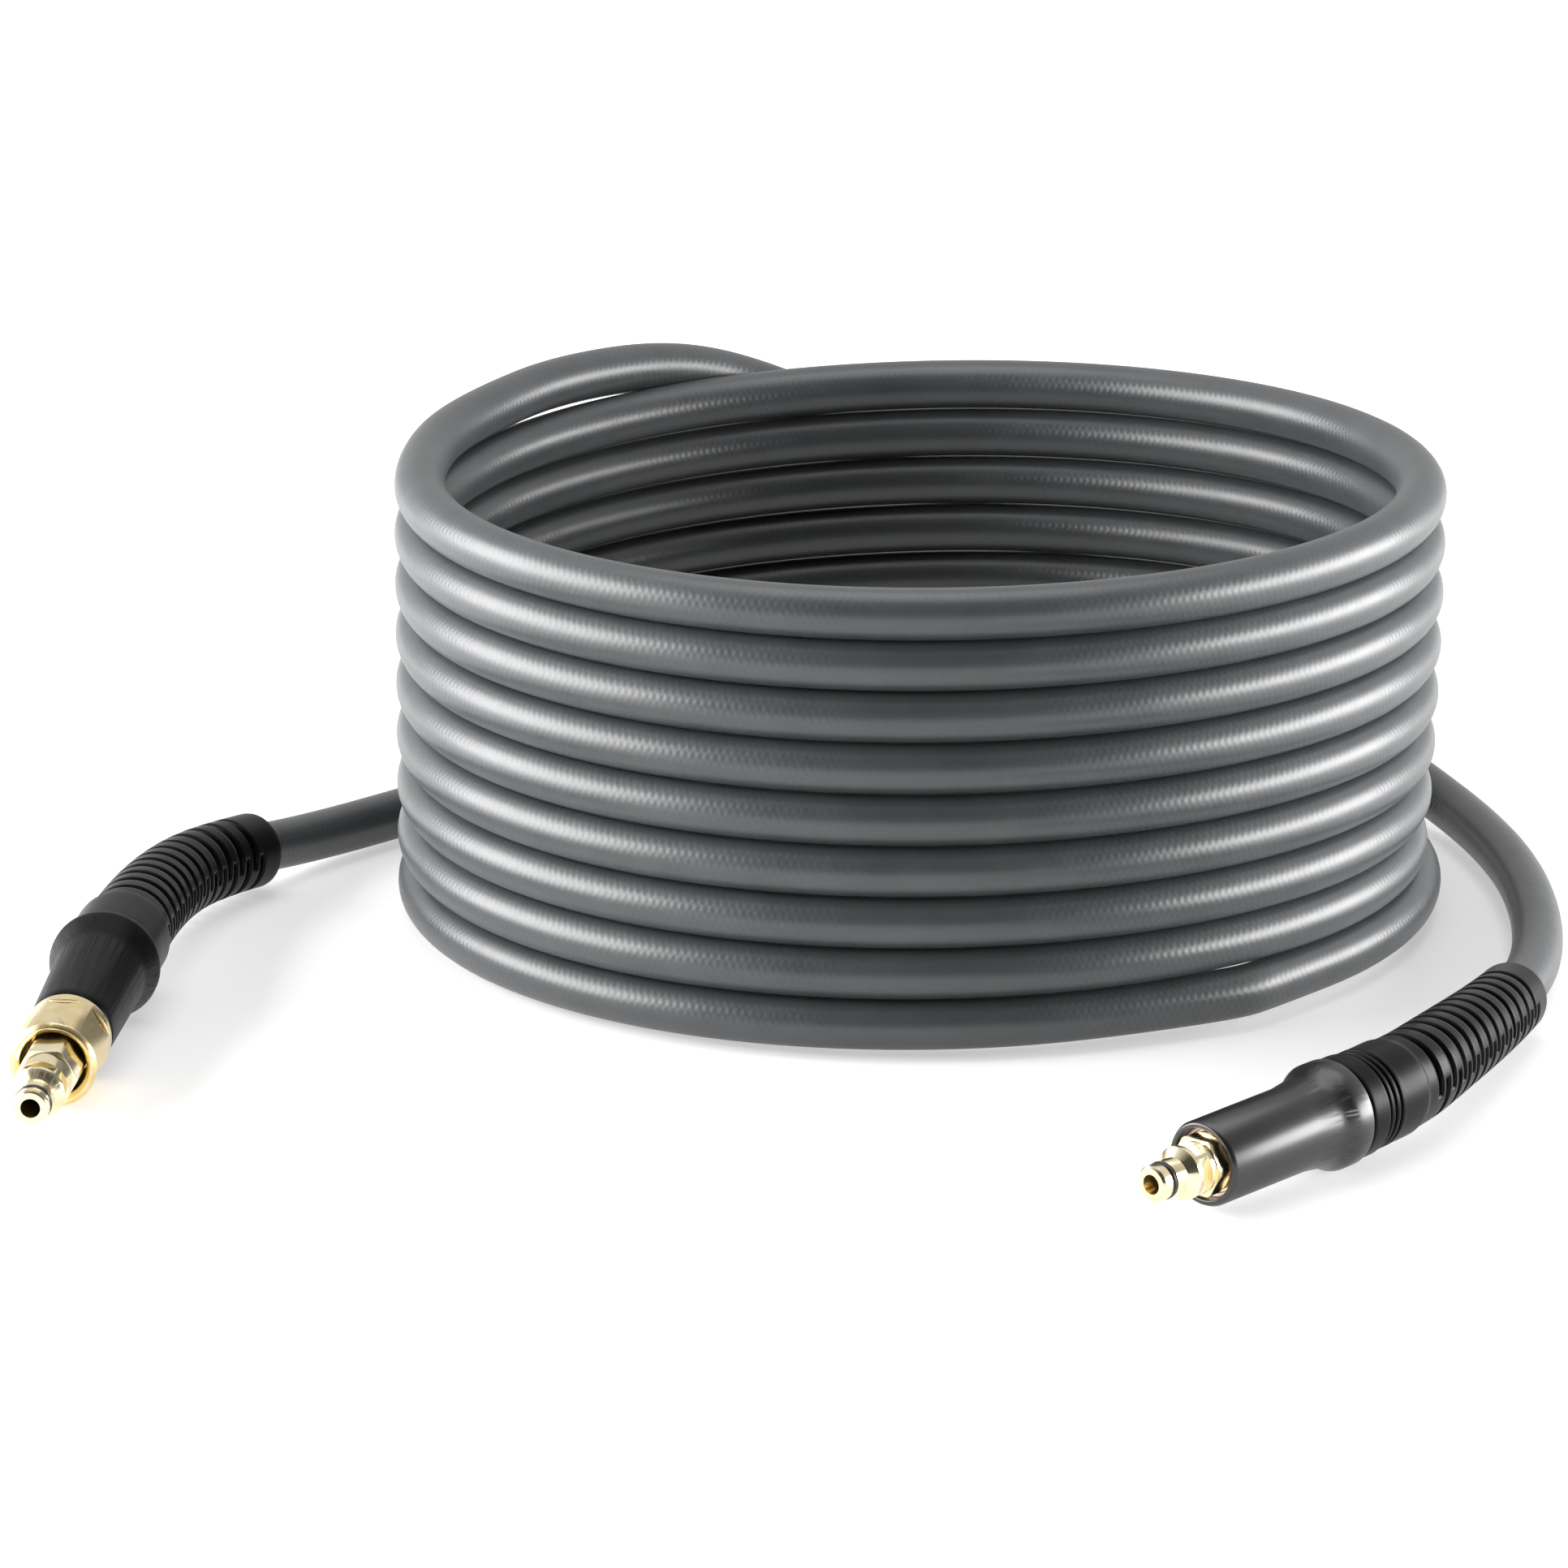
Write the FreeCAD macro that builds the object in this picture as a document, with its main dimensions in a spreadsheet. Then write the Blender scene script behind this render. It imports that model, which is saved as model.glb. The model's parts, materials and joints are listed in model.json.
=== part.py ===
import FreeCAD, Part
import math
import os
import re

import Sketcher

# A coiled 10 m pressure hose with a quick plug at each end, in millimetres, +Z up.
# One end carries a union nut and the other a rotary coupling, so the hose never twists.
# Both ends lie on the floor in front of the coil, which stands on its lowest turn.

Vector = FreeCAD.Vector
UP = Vector(0, 0, 1)

doc = FreeCAD.newDocument("pressure_hose")
sheet = doc.addObject("Spreadsheet::Sheet", "size")

# Driving dimensions: name, value and what it is.
DIMENSIONS = [
    ("hose_od", 15.8, "outside of the hose, across the flats of its faceted solid"),
    ("hose_sides", 6, "facets round the coil"),
    ("tail_sides", 12, "facets round the free ends"),
    ("coil_radius", 159.0, "centre line of the coil"),
    ("coil_gap", 0.8, "gap between two turns, one above the other"),
    ("coil_first", 165.0, "angle at which the lowest turn begins, clockwise from the back"),
    ("coil_lift", 180.0, "angle at which the coil leaves the floor, half a turn from the steepest climb"),
    ("coil_last", 3155.0, "angle at which the highest turn ends"),
    ("coil_inset", 5.5, "how far the lowest turn is pulled in at its right side"),
    ("coil_x", 36.0, "coil axis from the middle of the whole layout"),
    ("coil_y", 65.1, "coil axis from the middle of the whole layout"),
    ("machine_heading", -96.2, "way that the machine end points, anticlockwise from +X"),
    ("gun_heading", -134.0, "way that the gun end points, anticlockwise from +X"),
    ("gun_dip", 2.0, "how far the gun end's nose points down, in degrees"),
    ("machine_lead", 40.0, "last run of the machine end's route, in line with the coil"),
    ("gun_lead", 30.0, "last run of the gun end's route, in line with the coil"),
    ("mill_reach", 12.0, "how far a milling cutter clears a flat"),
    ("mill_half", 18.0, "half the width of a milling cut"),
    ("fit_gap", 0.1, "radial gap of a plain fit"),
    ("run_gap", 0.08, "radial gap of a turning fit"),
    ("seat_gap", 0.3, "axial gap between pieces that turn on each other"),
    ("bore", 6.0, "water way"),
    ("plug_od", 11.0, "quick plug"),
    ("plug_tip_chamfer", 0.7, "chamfer on the nose of the plug"),
    ("plug_land", 2.8, "plain land in front of the ring groove"),
    ("groove_width", 2.2, "ring groove"),
    ("groove_depth", 1.3, "ring groove"),
    ("plug_length", 10.0, "nose to shoulder"),
    ("ring_stand", 0.25, "how far the sealing ring stands out of its groove"),
    ("ring_flat", 0.6, "flat on the outside of the sealing ring"),
    ("shoulder_od", 16.2, "round shoulder behind the plug"),
    ("shoulder_cone", 2.2, "length of the cone up to the shoulder"),
    ("slot_width", 4.0, "spanner slots in the shoulder, along the axis"),
    ("slot_across", 12.4, "spanner slots, across"),
    ("slot_from_nose", 11.6, "nose to the front of the spanner slots"),
    ("hex_across", 17.0, "hexagon of a plug, across its flats"),
    ("hex_od", 18.8, "bar that the hexagon is milled from"),
    ("spigot_od", 12.0, "rear spigot of a plug or spindle"),
    ("spigot_length", 8.0, "rear spigot"),
    ("journal_od", 14.0, "neck that the union nut turns on"),
    ("seat_od", 18.0, "collar that bears on the hose stem"),
    ("seat_length", 3.0, "collar that bears on the hose stem"),
    ("machine_shoulder_length", 15.4, "shoulder of the machine end's plug, slots and cone included"),
    ("machine_hex_length", 27.4, "hexagon of the machine end's plug"),
    ("nut_od", 26.8, "union nut"),
    ("nut_across", 25.0, "union nut, across its milled flats"),
    ("nut_length", 26.7, "union nut"),
    ("nut_band", 4.6, "round band at the back of the nut"),
    ("nut_chamfer", 1.3, "front edge of the nut"),
    ("nut_wall", 6.0, "back wall of the nut"),
    ("nut_thread", 20.4, "inside the M22 x 1.5 thread"),
    ("nut_mouth", 23.0, "countersunk mouth of the nut"),
    ("nut_play", 0.6, "how far the nut can slide"),
    ("slip_ring_thickness", 1.2, "slip ring behind the nut"),
    ("slip_ring_od", 21.0, "slip ring behind the nut"),
    ("sleeve_length", 62.0, "sleeve of the machine end"),
    ("sleeve_front_od", 26.2, "sleeve behind the nut"),
    ("sleeve_rear_od", 28.6, "sleeve in front of its flare"),
    ("sleeve_nose", 1.5, "rounded front of the sleeve"),
    ("sleeve_collar_od", 34.6, "rim at the rear of the sleeve"),
    ("sleeve_collar_length", 2.5, "rim at the rear of the sleeve"),
    ("sleeve_flare", 8.0, "length over which the sleeve swells to its rim"),
    ("barb_od", 8.0, "stem inside the hose"),
    ("barb_length", 20.0, "stem inside the hose"),
    ("barb_root", 7.0, "stem between its barbs"),
    ("barbs", 2, "barbs of the stem"),
    ("barb_share", 0.8, "share of a barb's length that is its slope"),
    ("stem_flange_od", 22.0, "flange that the ferrule and the hose bear on"),
    ("stem_flange", 3.0, "flange that the ferrule and the hose bear on"),
    ("stem_across", 19.0, "hexagon of the stem"),
    ("stem_hexagon", 12.0, "hexagon of the stem"),
    ("ferrule_od", 22.0, "crimped ferrule"),
    ("ferrule_length", 21.0, "crimped ferrule"),
    ("crimp_across", 20.8, "crimped flats of the ferrule"),
    ("crimp_margin", 4.0, "round ends of the ferrule"),
    ("machine_hose_in", 30.0, "how far the hose reaches into the sleeve"),
    ("gun_hose_in", 14.0, "how far the hose reaches into the barrel"),
    ("machine_straight", 26.0, "how far behind the sleeve the hose stays in line with it"),
    ("gun_straight", 27.0, "how far behind the barrel the hose stays in line with it"),
    ("barrel_length", 58.0, "swivel barrel"),
    ("barrel_od", 26.0, "swivel barrel"),
    ("barrel_collar_od", 32.8, "rear collar of the barrel"),
    ("barrel_collar_length", 5.5, "rear collar of the barrel"),
    ("barrel_flare", 14.0, "length over which the barrel swells to its collar"),
    ("barrel_clearance", 1.0, "gap between the stem's flange and the barrel"),
    ("barrel_mouth_chamfer", 1.4, "front edge of the barrel"),
    ("barrel_mouth", 21.6, "open mouth of the barrel"),
    ("mouth_depth", 5.0, "mouth in front of the swivel body"),
    ("swivel_od", 19.6, "swivel body in the barrel"),
    ("swivel_chamber", 16.0, "chamber of the swivel body"),
    ("bush_length", 10.0, "plain bearing of the spindle"),
    ("clip_thickness", 1.2, "retaining clip of the spindle"),
    ("clip_groove", 10.2, "bottom of the clip's groove"),
    ("clip_od", 15.0, "retaining clip"),
    ("swivel_seal_length", 3.0, "lip seal of the spindle"),
    ("spindle_nose", 2.0, "spindle in front of its seal"),
    ("swivel_water_wall", 2.5, "wall between chamber and plug socket"),
    ("gun_spigot_od", 13.0, "rear thread of the gun end's plug"),
    ("gun_spigot_length", 8.0, "rear thread of the gun end's plug"),
    ("gun_shoulder_length", 9.5, "shoulder of the gun end's plug, slots and cone included"),
    ("gun_hex_length", 4.5, "hexagon of the gun end's plug"),
    ("end_ring_thickness", 1.6, "ring in the mouth of the barrel"),
    ("end_ring_inner", 19.2, "ring in the mouth of the barrel"),
    ("guard_sides", 12, "facets round a bend guard"),
    ("guard_wall_gap", 0.15, "gap between the hose and the bore of a guard"),
    ("rib_pitch", 8.3, "ribs of a guard"),
    ("rib_land", 5.3, "top of a rib"),
    ("rib_slope", 0.5, "slope at each end of a rib"),
    ("rib_depth", 1.7, "depth of the slots between ribs"),
    ("machine_guard_nose", 8.0, "guard inside the sleeve"),
    ("machine_guard_band_od", 30.4, "plain band at the front of the guard"),
    ("machine_guard_band", 26.5, "plain band at the front of the guard"),
    ("machine_rib_gap", 3.0, "from the plain band to the first rib"),
    ("machine_guard_ribs", 13, "ribs"),
    ("machine_guard_front_od", 27.4, "first rib"),
    ("machine_guard_end_od", 24.4, "last rib"),
    ("gun_guard_gap", 0.8, "slot between barrel and guard"),
    ("gun_guard_collar_od", 31.6, "front collar of the guard"),
    ("gun_guard_collar", 8.0, "front collar of the guard"),
    ("fine_rib_pitch", 2.6, "fine ribs behind the collar"),
    ("fine_ribs", 3, "fine ribs behind the collar"),
    ("fine_groove", 0.7, "bottom of the groove in front of a fine rib"),
    ("fine_slope", 0.3, "slope at each end of a fine groove"),
    ("fine_depth", 1.1, "depth of a fine groove"),
    ("fine_drop", 0.5, "fine ribs, below the collar"),
    ("gun_guard_band", 11.0, "plain band behind the fine ribs"),
    ("gun_rib_gap", 1.0, "from the plain band to the first rib"),
    ("gun_guard_ribs", 13, "ribs"),
    ("gun_guard_front_od", 29.4, "first rib"),
    ("gun_guard_end_od", 22.8, "last rib"),
    ("socket_spare", 1.5, "room behind the ferrule in a guard"),
    ("guard_end_round", 3.0, "rounded end of a guard"),
    ("guard_end_wall", 0.9, "wall at the very end of a guard"),
    ("square_step", 0.02, "length given to a square step in a guard's outline"),
    ("bore_step", 9.0, "distance between the sections of a guard's bore"),
]

for row, (name, value, note) in enumerate(DIMENSIONS, 1):
    sheet.set(f"A{row}", note)
    sheet.set(f"B{row}", str(value))
    sheet.setAlias(f"B{row}", name)
doc.recompute()


def mm(name):
    """The value of one driving dimension."""
    return float(sheet.get(name))


def bound(formula):
    """A formula of dimension names, written for the sheet."""
    return re.sub(r"[a-z]\w+", lambda word: "size." + word.group(0), formula)


# Turned and milled pieces. Each is drawn along its own Z axis, from its rear face.

def origin_plane(body, role):
    return next(item for item in body.Origin.OriginFeatures if item.Role == role)


def closed_sketch(body, name, plane, corners, height=None):
    """A closed outline of straight edges with both coordinates of each corner bound to the sheet."""
    sketch = body.newObject("Sketcher::SketchObject", name)
    sketch.AttachmentSupport = [(origin_plane(body, plane), "")]
    sketch.MapMode = "FlatFace"
    if height:
        sketch.setExpression(".AttachmentOffset.Base.z", bound(height))
    count = len(corners)
    rough = [
        Vector(20 + 9 * math.cos(2 * math.pi * i / count), 20 + 9 * math.sin(2 * math.pi * i / count), 0)
        for i in range(count)
    ]
    lines = [Part.LineSegment(rough[i], rough[(i + 1) % count]) for i in range(count)]
    sketch.addGeometry(lines, False)
    joins = [Sketcher.Constraint("Coincident", i, 2, (i + 1) % count, 1) for i in range(count)]
    sketch.addConstraint(joins)
    for i, (across, along) in enumerate(corners):
        for kind, rough_value, formula in (
            ("DistanceX", rough[i].x, across),
            ("DistanceY", rough[i].y, along),
        ):
            index = sketch.addConstraint(Sketcher.Constraint(kind, -1, 1, i, 1, rough_value))
            sketch.setExpression(f"Constraints[{index}]", bound(formula))
    return sketch


def turned(label, outline):
    """A piece turned on a lathe: outline lists the radius and the distance from its rear face."""
    body = doc.addObject("PartDesign::Body", label)
    body.Label = label
    sketch = closed_sketch(body, label + "_outline", "XZ_Plane", outline)
    spun = body.newObject("PartDesign::Revolution", label + "_turned")
    spun.Profile = sketch
    spun.ReferenceAxis = (sketch, ["V_Axis"])
    spun.Angle = 360.0
    sketch.Visibility = False
    body.Tip = spun
    doc.recompute()
    return body


def mill_flats(body, name, count, across, start, length):
    """Flats milled round a turned piece, the first one facing its local X."""
    reach = across + " / 2 + mill_reach"
    corners = [
        (across + " / 2", "0 - mill_half"),
        (reach, "0 - mill_half"),
        (reach, "mill_half"),
        (across + " / 2", "mill_half"),
    ]
    before = body.Shape.Volume
    sketch = closed_sketch(body, name + "_outline", "XY_Plane", corners, start)
    cut = body.newObject("PartDesign::Pocket", name)
    cut.Profile = sketch
    cut.Reversed = True
    cut.setExpression("Length", bound(length))
    sketch.Visibility = False
    body.Tip = cut
    doc.recompute()
    around = body.newObject("PartDesign::PolarPattern", name + "_round")
    around.Originals = [cut]
    around.Axis = (sketch, ["N_Axis"])
    around.Angle = 360.0
    around.Occurrences = count
    body.Tip = around
    doc.recompute()
    if not body.Shape.Volume < before - 0.5:
        raise RuntimeError(f"{name} cuts nothing")


# Where the two ends lie, and the free ends of the hose. Points are placed by hand from the coil
# axis, for a coil of the size below; a larger coil or hose moves them out and up in proportion.

coil_axis = Vector(mm("coil_x"), mm("coil_y"), 0)
coil_pitch = mm("hose_od") + mm("coil_gap")

LAID_RADIUS = 159.0
LAID_OD = 15.8
LAID_PITCH = 16.6
MACHINE_FOOT = (-252.64, -118.0)
GUN_FOOT = (118.0, -261.3)
MACHINE_TAIL = [
    (-239.0, -22.0, 15.8),
    (-219.0, 12.5, 13.8),
    (-200.0, 40.5, 9.6),
    (-175.5, 69.2, 8.3),
    (-147.0, 100.6, 8.3),
    (-107.0, 140.6, 8.3),
    (-52.0, 169.5, 8.3),
    (6.0, 176.5, 8.3),
    (60.5, 165.5, 8.3),
    (109.5, 135.0, 8.3),
    (145.5, 91.0, 8.3),
    (165.5, 38.0, 8.3),
    (167.0, -17.5, 8.3),
    (150.5, -70.0, 8.3),
    (119.0, -111.0, 8.2),
]
GUN_TAIL = [
    (153.9, -203.5, 16.0),
    (170.7, -162.9, 13.4),
    (185.0, -121.3, 10.6),
    (193.0, -80.1, 8.5),
    (195.6, -38.2, 8.3),
    (193.8, 3.8, 8.3),
    (187.2, 45.3, 8.3),
    (174.8, 88.0, 9.0),
    (147.0, 127.0, 20.0),
    (106.5, 159.0, 46.0),
    (54.7, 179.0, 77.0),
    (0.0, 185.5, 104.0),
    (-50.0, 174.5, 126.0),
    (-89.9, 150.5, 141.0),
    (-118.4, 119.5, 146.6),
    (-140.7, 81.5, 146.0),
]


def laid(x, y, z=LAID_OD / 2):
    """A hand-placed point, moved with the size of the coil and of the hose."""
    out = (mm("coil_radius") + mm("hose_od")) / (LAID_RADIUS + LAID_OD)
    height = mm("hose_od") / 2 + (z - LAID_OD / 2) * coil_pitch / LAID_PITCH
    return coil_axis + Vector(x * out, y * out, height)


class FittingAxis:
    """The axis of one end: a foot, a direction, and placements along it."""

    def __init__(self, foot, heading, dip, rest_radius, rest_at):
        turn = math.radians(heading)
        flat = math.cos(dip)
        self.way = Vector(math.cos(turn) * flat, math.sin(turn) * flat, -math.sin(dip))
        self.side = UP.cross(self.way)
        self.side.normalize()
        self.over = self.way.cross(self.side)
        self.foot = laid(*foot)
        self.foot.z = rest_radius * math.cos(dip) + rest_at * math.sin(dip)

    def at(self, station):
        return self.foot + self.way * station

    def place(self, station):
        turn = FreeCAD.Rotation(self.over, self.way.cross(self.over), self.way, "ZXY")
        return FreeCAD.Placement(self.at(station), turn)


slip_ring_at = mm("sleeve_length")
nut_at = slip_ring_at + mm("slip_ring_thickness") + mm("seat_gap")
nut_mouth_at = nut_at + mm("nut_length")
machine_dip = math.atan(
    (mm("sleeve_collar_od") - mm("nut_od")) / 2
    / (nut_mouth_at - mm("nut_chamfer") - mm("sleeve_collar_length"))
)
machine = FittingAxis(
    MACHINE_FOOT, mm("machine_heading"), machine_dip,
    mm("sleeve_collar_od") / 2, mm("sleeve_collar_length"),
)
gun = FittingAxis(
    GUN_FOOT, mm("gun_heading"), math.radians(mm("gun_dip")),
    mm("barrel_collar_od") / 2, mm("barrel_collar_length"),
)


# Barbed stems and ferrules.

def stem_barbs():
    """Outline of the barbs, from the bore at the rear to the flange that the hose end meets."""
    outline = [("bore / 2", "0")]
    for number in range(int(mm("barbs"))):
        start = f"barb_length / barbs * {number}"
        outline.append(("barb_root / 2", start))
        outline.append(("barb_od / 2", f"{start} + barb_length / barbs * barb_share"))
    return outline + [("barb_root / 2", "barb_length"), ("stem_flange_od / 2", "barb_length")]


def hose_ferrule(label, axis, hose_in):
    """A steel ferrule, crimped in flats over the hose end."""
    shell = turned(label, [
        ("ferrule_bore / 2", "0"),
        ("ferrule_od / 2", "0"),
        ("ferrule_od / 2", "ferrule_length"),
        ("ferrule_bore / 2", "ferrule_length"),
    ])
    mill_flats(shell, label + "_crimp", 8, "crimp_across", "crimp_margin", "ferrule_length - crimp_margin * 2")
    shell.Placement = axis.place(hose_in - mm("ferrule_length"))
    return shell


tail_corner = mm("hose_od") / 2 / math.cos(math.pi / mm("tail_sides"))
last_row = len(DIMENSIONS) + 1
sheet.set(f"A{last_row}", "bore that clears the corners of the faceted hose")
sheet.set(f"B{last_row}", str(round(2 * (tail_corner + mm("fit_gap")), 4)))
sheet.setAlias(f"B{last_row}", "ferrule_bore")
doc.recompute()

STEM = "(barb_length + stem_flange + stem_hexagon)"
machine_stem = turned("machine_hose_stem", stem_barbs() + [
    ("stem_flange_od / 2", STEM),
    ("spigot_od / 2 + fit_gap", STEM),
    ("spigot_od / 2 + fit_gap", f"{STEM} - spigot_length"),
    ("bore / 2", f"{STEM} - spigot_length"),
])
mill_flats(
    machine_stem, "machine_stem_hexagon", 6, "stem_across",
    "barb_length + stem_flange", "stem_hexagon",
)
machine_stem.Placement = machine.place(mm("machine_hose_in") - mm("barb_length"))
machine_ferrule = hose_ferrule("machine_ferrule", machine, mm("machine_hose_in"))
gun_ferrule = hose_ferrule("gun_ferrule", gun, mm("gun_hose_in"))


# Quick plugs. The nose, its ring groove and the shoulder with spanner slots are the same.

def plug_nose(total):
    """Outline of a quick plug from the foot of its shoulder's cone to its nose."""
    return [
        ("shoulder_od / 2", f"{total} - plug_length - shoulder_cone"),
        ("plug_od / 2", f"{total} - plug_length"),
        ("plug_od / 2", f"{total} - plug_tip_chamfer - plug_land - groove_width"),
        ("plug_od / 2 - groove_depth", f"{total} - plug_tip_chamfer - plug_land - groove_width"),
        ("plug_od / 2 - groove_depth", f"{total} - plug_tip_chamfer - plug_land"),
        ("plug_od / 2", f"{total} - plug_tip_chamfer - plug_land"),
        ("plug_od / 2", f"{total} - plug_tip_chamfer"),
        ("plug_od / 2 - plug_tip_chamfer", total),
        ("bore / 2", total),
    ]


def sealing_ring(label, axis, nose_at):
    """A rubber ring in the groove of a plug."""
    inner, outer = "plug_od / 2 - groove_depth", "plug_od / 2 + ring_stand"
    ring = turned(label, [
        (inner, "fit_gap"),
        (outer + " - groove_width / 4", "fit_gap"),
        (outer, "groove_width / 2 - ring_flat / 2"),
        (outer, "groove_width / 2 + ring_flat / 2"),
        (outer + " - groove_width / 4", "groove_width - fit_gap"),
        (inner, "groove_width - fit_gap"),
    ])
    ring.Placement = axis.place(
        nose_at - mm("plug_tip_chamfer") - mm("plug_land") - mm("groove_width")
    )
    return ring


flange_at = nut_at + mm("nut_wall") + mm("nut_play")
machine_stem_front = mm("machine_hose_in") + mm("stem_flange") + mm("stem_hexagon")
machine_plug_back = machine_stem_front - mm("spigot_length")
machine_nose_at = (
    flange_at + mm("seat_length") + mm("machine_hex_length")
    + mm("machine_shoulder_length") + mm("plug_length")
)
NECK = "(sleeve_length + slip_ring_thickness + seat_gap + nut_wall + nut_play)"
HEX_BACK = f"({NECK} + seat_length)"
BACK = "(machine_hose_in + stem_flange + stem_hexagon - spigot_length)"
TOTAL = f"({HEX_BACK} + machine_hex_length + machine_shoulder_length + plug_length - {BACK})"
machine_plug = turned("machine_plug", [
    ("bore / 2", "0"),
    ("spigot_od / 2", "0"),
    ("spigot_od / 2", "spigot_length"),
    ("seat_od / 2", "spigot_length"),
    ("seat_od / 2", "spigot_length + seat_length"),
    ("journal_od / 2", "spigot_length + seat_length"),
    ("journal_od / 2", f"{NECK} - {BACK}"),
    ("hex_od / 2", f"{NECK} - {BACK}"),
    ("hex_od / 2", f"{HEX_BACK} + machine_hex_length - {BACK}"),
    ("shoulder_od / 2", f"{HEX_BACK} + machine_hex_length - {BACK}"),
] + plug_nose(TOTAL))
mill_flats(
    machine_plug, "machine_plug_hexagon", 6, "hex_across",
    f"{HEX_BACK} - {BACK}", "machine_hex_length",
)
mill_flats(
    machine_plug, "machine_plug_slots", 4, "slot_across",
    f"{TOTAL} - slot_from_nose - slot_width - shoulder_cone", "slot_width",
)
machine_plug.Placement = machine.place(machine_plug_back)
machine_plug_ring = sealing_ring("machine_plug_ring", machine, machine_nose_at)

gun_face = mm("barrel_length") - mm("mouth_depth")
gun_nose_at = (
    gun_face + mm("seat_length") + mm("gun_hex_length") + mm("gun_shoulder_length") + mm("plug_length")
)
GUN_TOTAL = "(gun_spigot_length + seat_length + gun_hex_length + gun_shoulder_length + plug_length)"
gun_plug = turned("gun_plug", [
    ("bore / 2", "0"),
    ("gun_spigot_od / 2", "0"),
    ("gun_spigot_od / 2", "gun_spigot_length"),
    ("seat_od / 2", "gun_spigot_length"),
    ("seat_od / 2", "gun_spigot_length + seat_length"),
    ("hex_od / 2", "gun_spigot_length + seat_length"),
    ("hex_od / 2", "gun_spigot_length + seat_length + gun_hex_length"),
    ("shoulder_od / 2", "gun_spigot_length + seat_length + gun_hex_length"),
] + plug_nose(GUN_TOTAL))
mill_flats(
    gun_plug, "gun_plug_hexagon", 6, "hex_across",
    "gun_spigot_length + seat_length", "gun_hex_length",
)
mill_flats(
    gun_plug, "gun_plug_slots", 4, "slot_across",
    f"{GUN_TOTAL} - slot_from_nose - slot_width - shoulder_cone", "slot_width",
)
gun_plug.Placement = gun.place(gun_face - mm("gun_spigot_length"))
gun_plug_ring = sealing_ring("gun_plug_ring", gun, gun_nose_at)


# Machine end: union nut, slip ring and sleeve.

union_nut = turned("union_nut", [
    ("journal_od / 2 + run_gap", "0"),
    ("nut_od / 2 - nut_chamfer / 2", "0"),
    ("nut_od / 2", "nut_chamfer / 2"),
    ("nut_od / 2", "nut_length - nut_chamfer"),
    ("nut_od / 2 - nut_chamfer", "nut_length"),
    ("nut_mouth / 2", "nut_length"),
    ("nut_thread / 2", "nut_length - (nut_mouth - nut_thread) / 2"),
    ("nut_thread / 2", "nut_wall"),
    ("journal_od / 2 + run_gap", "nut_wall"),
])
mill_flats(
    union_nut, "union_nut_flats", 6, "nut_across",
    "nut_band", "nut_length - nut_band - nut_chamfer",
)
union_nut.Placement = machine.place(nut_at)

slip_ring = turned("union_slip_ring", [
    ("journal_od / 2 + fit_gap", "0"),
    ("slip_ring_od / 2", "0"),
    ("slip_ring_od / 2", "slip_ring_thickness"),
    ("journal_od / 2 + fit_gap", "slip_ring_thickness"),
])
slip_ring.Placement = machine.place(slip_ring_at)

sleeve = turned("machine_sleeve", [
    ("stem_flange_od / 2 + fit_gap", "0"),
    ("sleeve_collar_od / 2", "0"),
    ("sleeve_collar_od / 2", "sleeve_collar_length"),
    ("sleeve_rear_od / 2", "sleeve_collar_length + sleeve_flare"),
    ("sleeve_front_od / 2", "sleeve_length - sleeve_nose"),
    ("sleeve_front_od / 2 - sleeve_nose", "sleeve_length"),
    ("journal_od / 2 + fit_gap", "sleeve_length"),
    ("journal_od / 2 + fit_gap", f"{BACK} + spigot_length + seat_length + fit_gap"),
    ("stem_flange_od / 2 + fit_gap", f"{BACK} + spigot_length + seat_length + fit_gap"),
])
sleeve.Placement = machine.place(0)


# Gun end: barrel, swivel body and what turns in it.

SWIVEL = "(gun_hose_in + stem_flange + seat_gap)"
swivel_back = mm("gun_hose_in") + mm("stem_flange") + mm("seat_gap")
barrel = turned("swivel_barrel", [
    ("stem_flange_od / 2 + barrel_clearance", "0"),
    ("barrel_collar_od / 2", "0"),
    ("barrel_collar_od / 2", "barrel_collar_length"),
    ("barrel_od / 2 + (barrel_collar_od - barrel_od) * 0.16", "barrel_collar_length + barrel_flare * 0.35"),
    ("barrel_od / 2", "barrel_collar_length + barrel_flare"),
    ("barrel_od / 2", "barrel_length - barrel_mouth_chamfer"),
    ("barrel_od / 2 - barrel_mouth_chamfer / 2", "barrel_length"),
    ("barrel_mouth / 2", "barrel_length"),
    ("barrel_mouth / 2", "barrel_length - mouth_depth"),
    ("swivel_od / 2 + fit_gap", "barrel_length - mouth_depth"),
    ("swivel_od / 2 + fit_gap", SWIVEL),
    ("stem_flange_od / 2 + barrel_clearance", SWIVEL),
])
barrel.Placement = gun.place(0)

bush_inner = "spigot_od / 2 + run_gap"
CHAMBER = f"(barrel_length - mouth_depth - {SWIVEL} - gun_spigot_length - swivel_water_wall)"
swivel_body = turned("swivel_body", [
    ("swivel_chamber / 2", "0"),
    ("swivel_od / 2", "0"),
    ("swivel_od / 2", f"{CHAMBER} + swivel_water_wall + gun_spigot_length"),
    ("gun_spigot_od / 2 + fit_gap", f"{CHAMBER} + swivel_water_wall + gun_spigot_length"),
    ("gun_spigot_od / 2 + fit_gap", f"{CHAMBER} + swivel_water_wall"),
    ("bore / 2", f"{CHAMBER} + swivel_water_wall"),
    ("bore / 2", CHAMBER),
    ("swivel_chamber / 2", CHAMBER),
])
swivel_body.Placement = gun.place(swivel_back)

swivel_bush = turned("swivel_bush", [
    (bush_inner, "0"),
    ("swivel_chamber / 2", "0"),
    ("swivel_chamber / 2", "bush_length"),
    (bush_inner, "bush_length"),
])
swivel_bush.Placement = gun.place(swivel_back)

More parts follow.
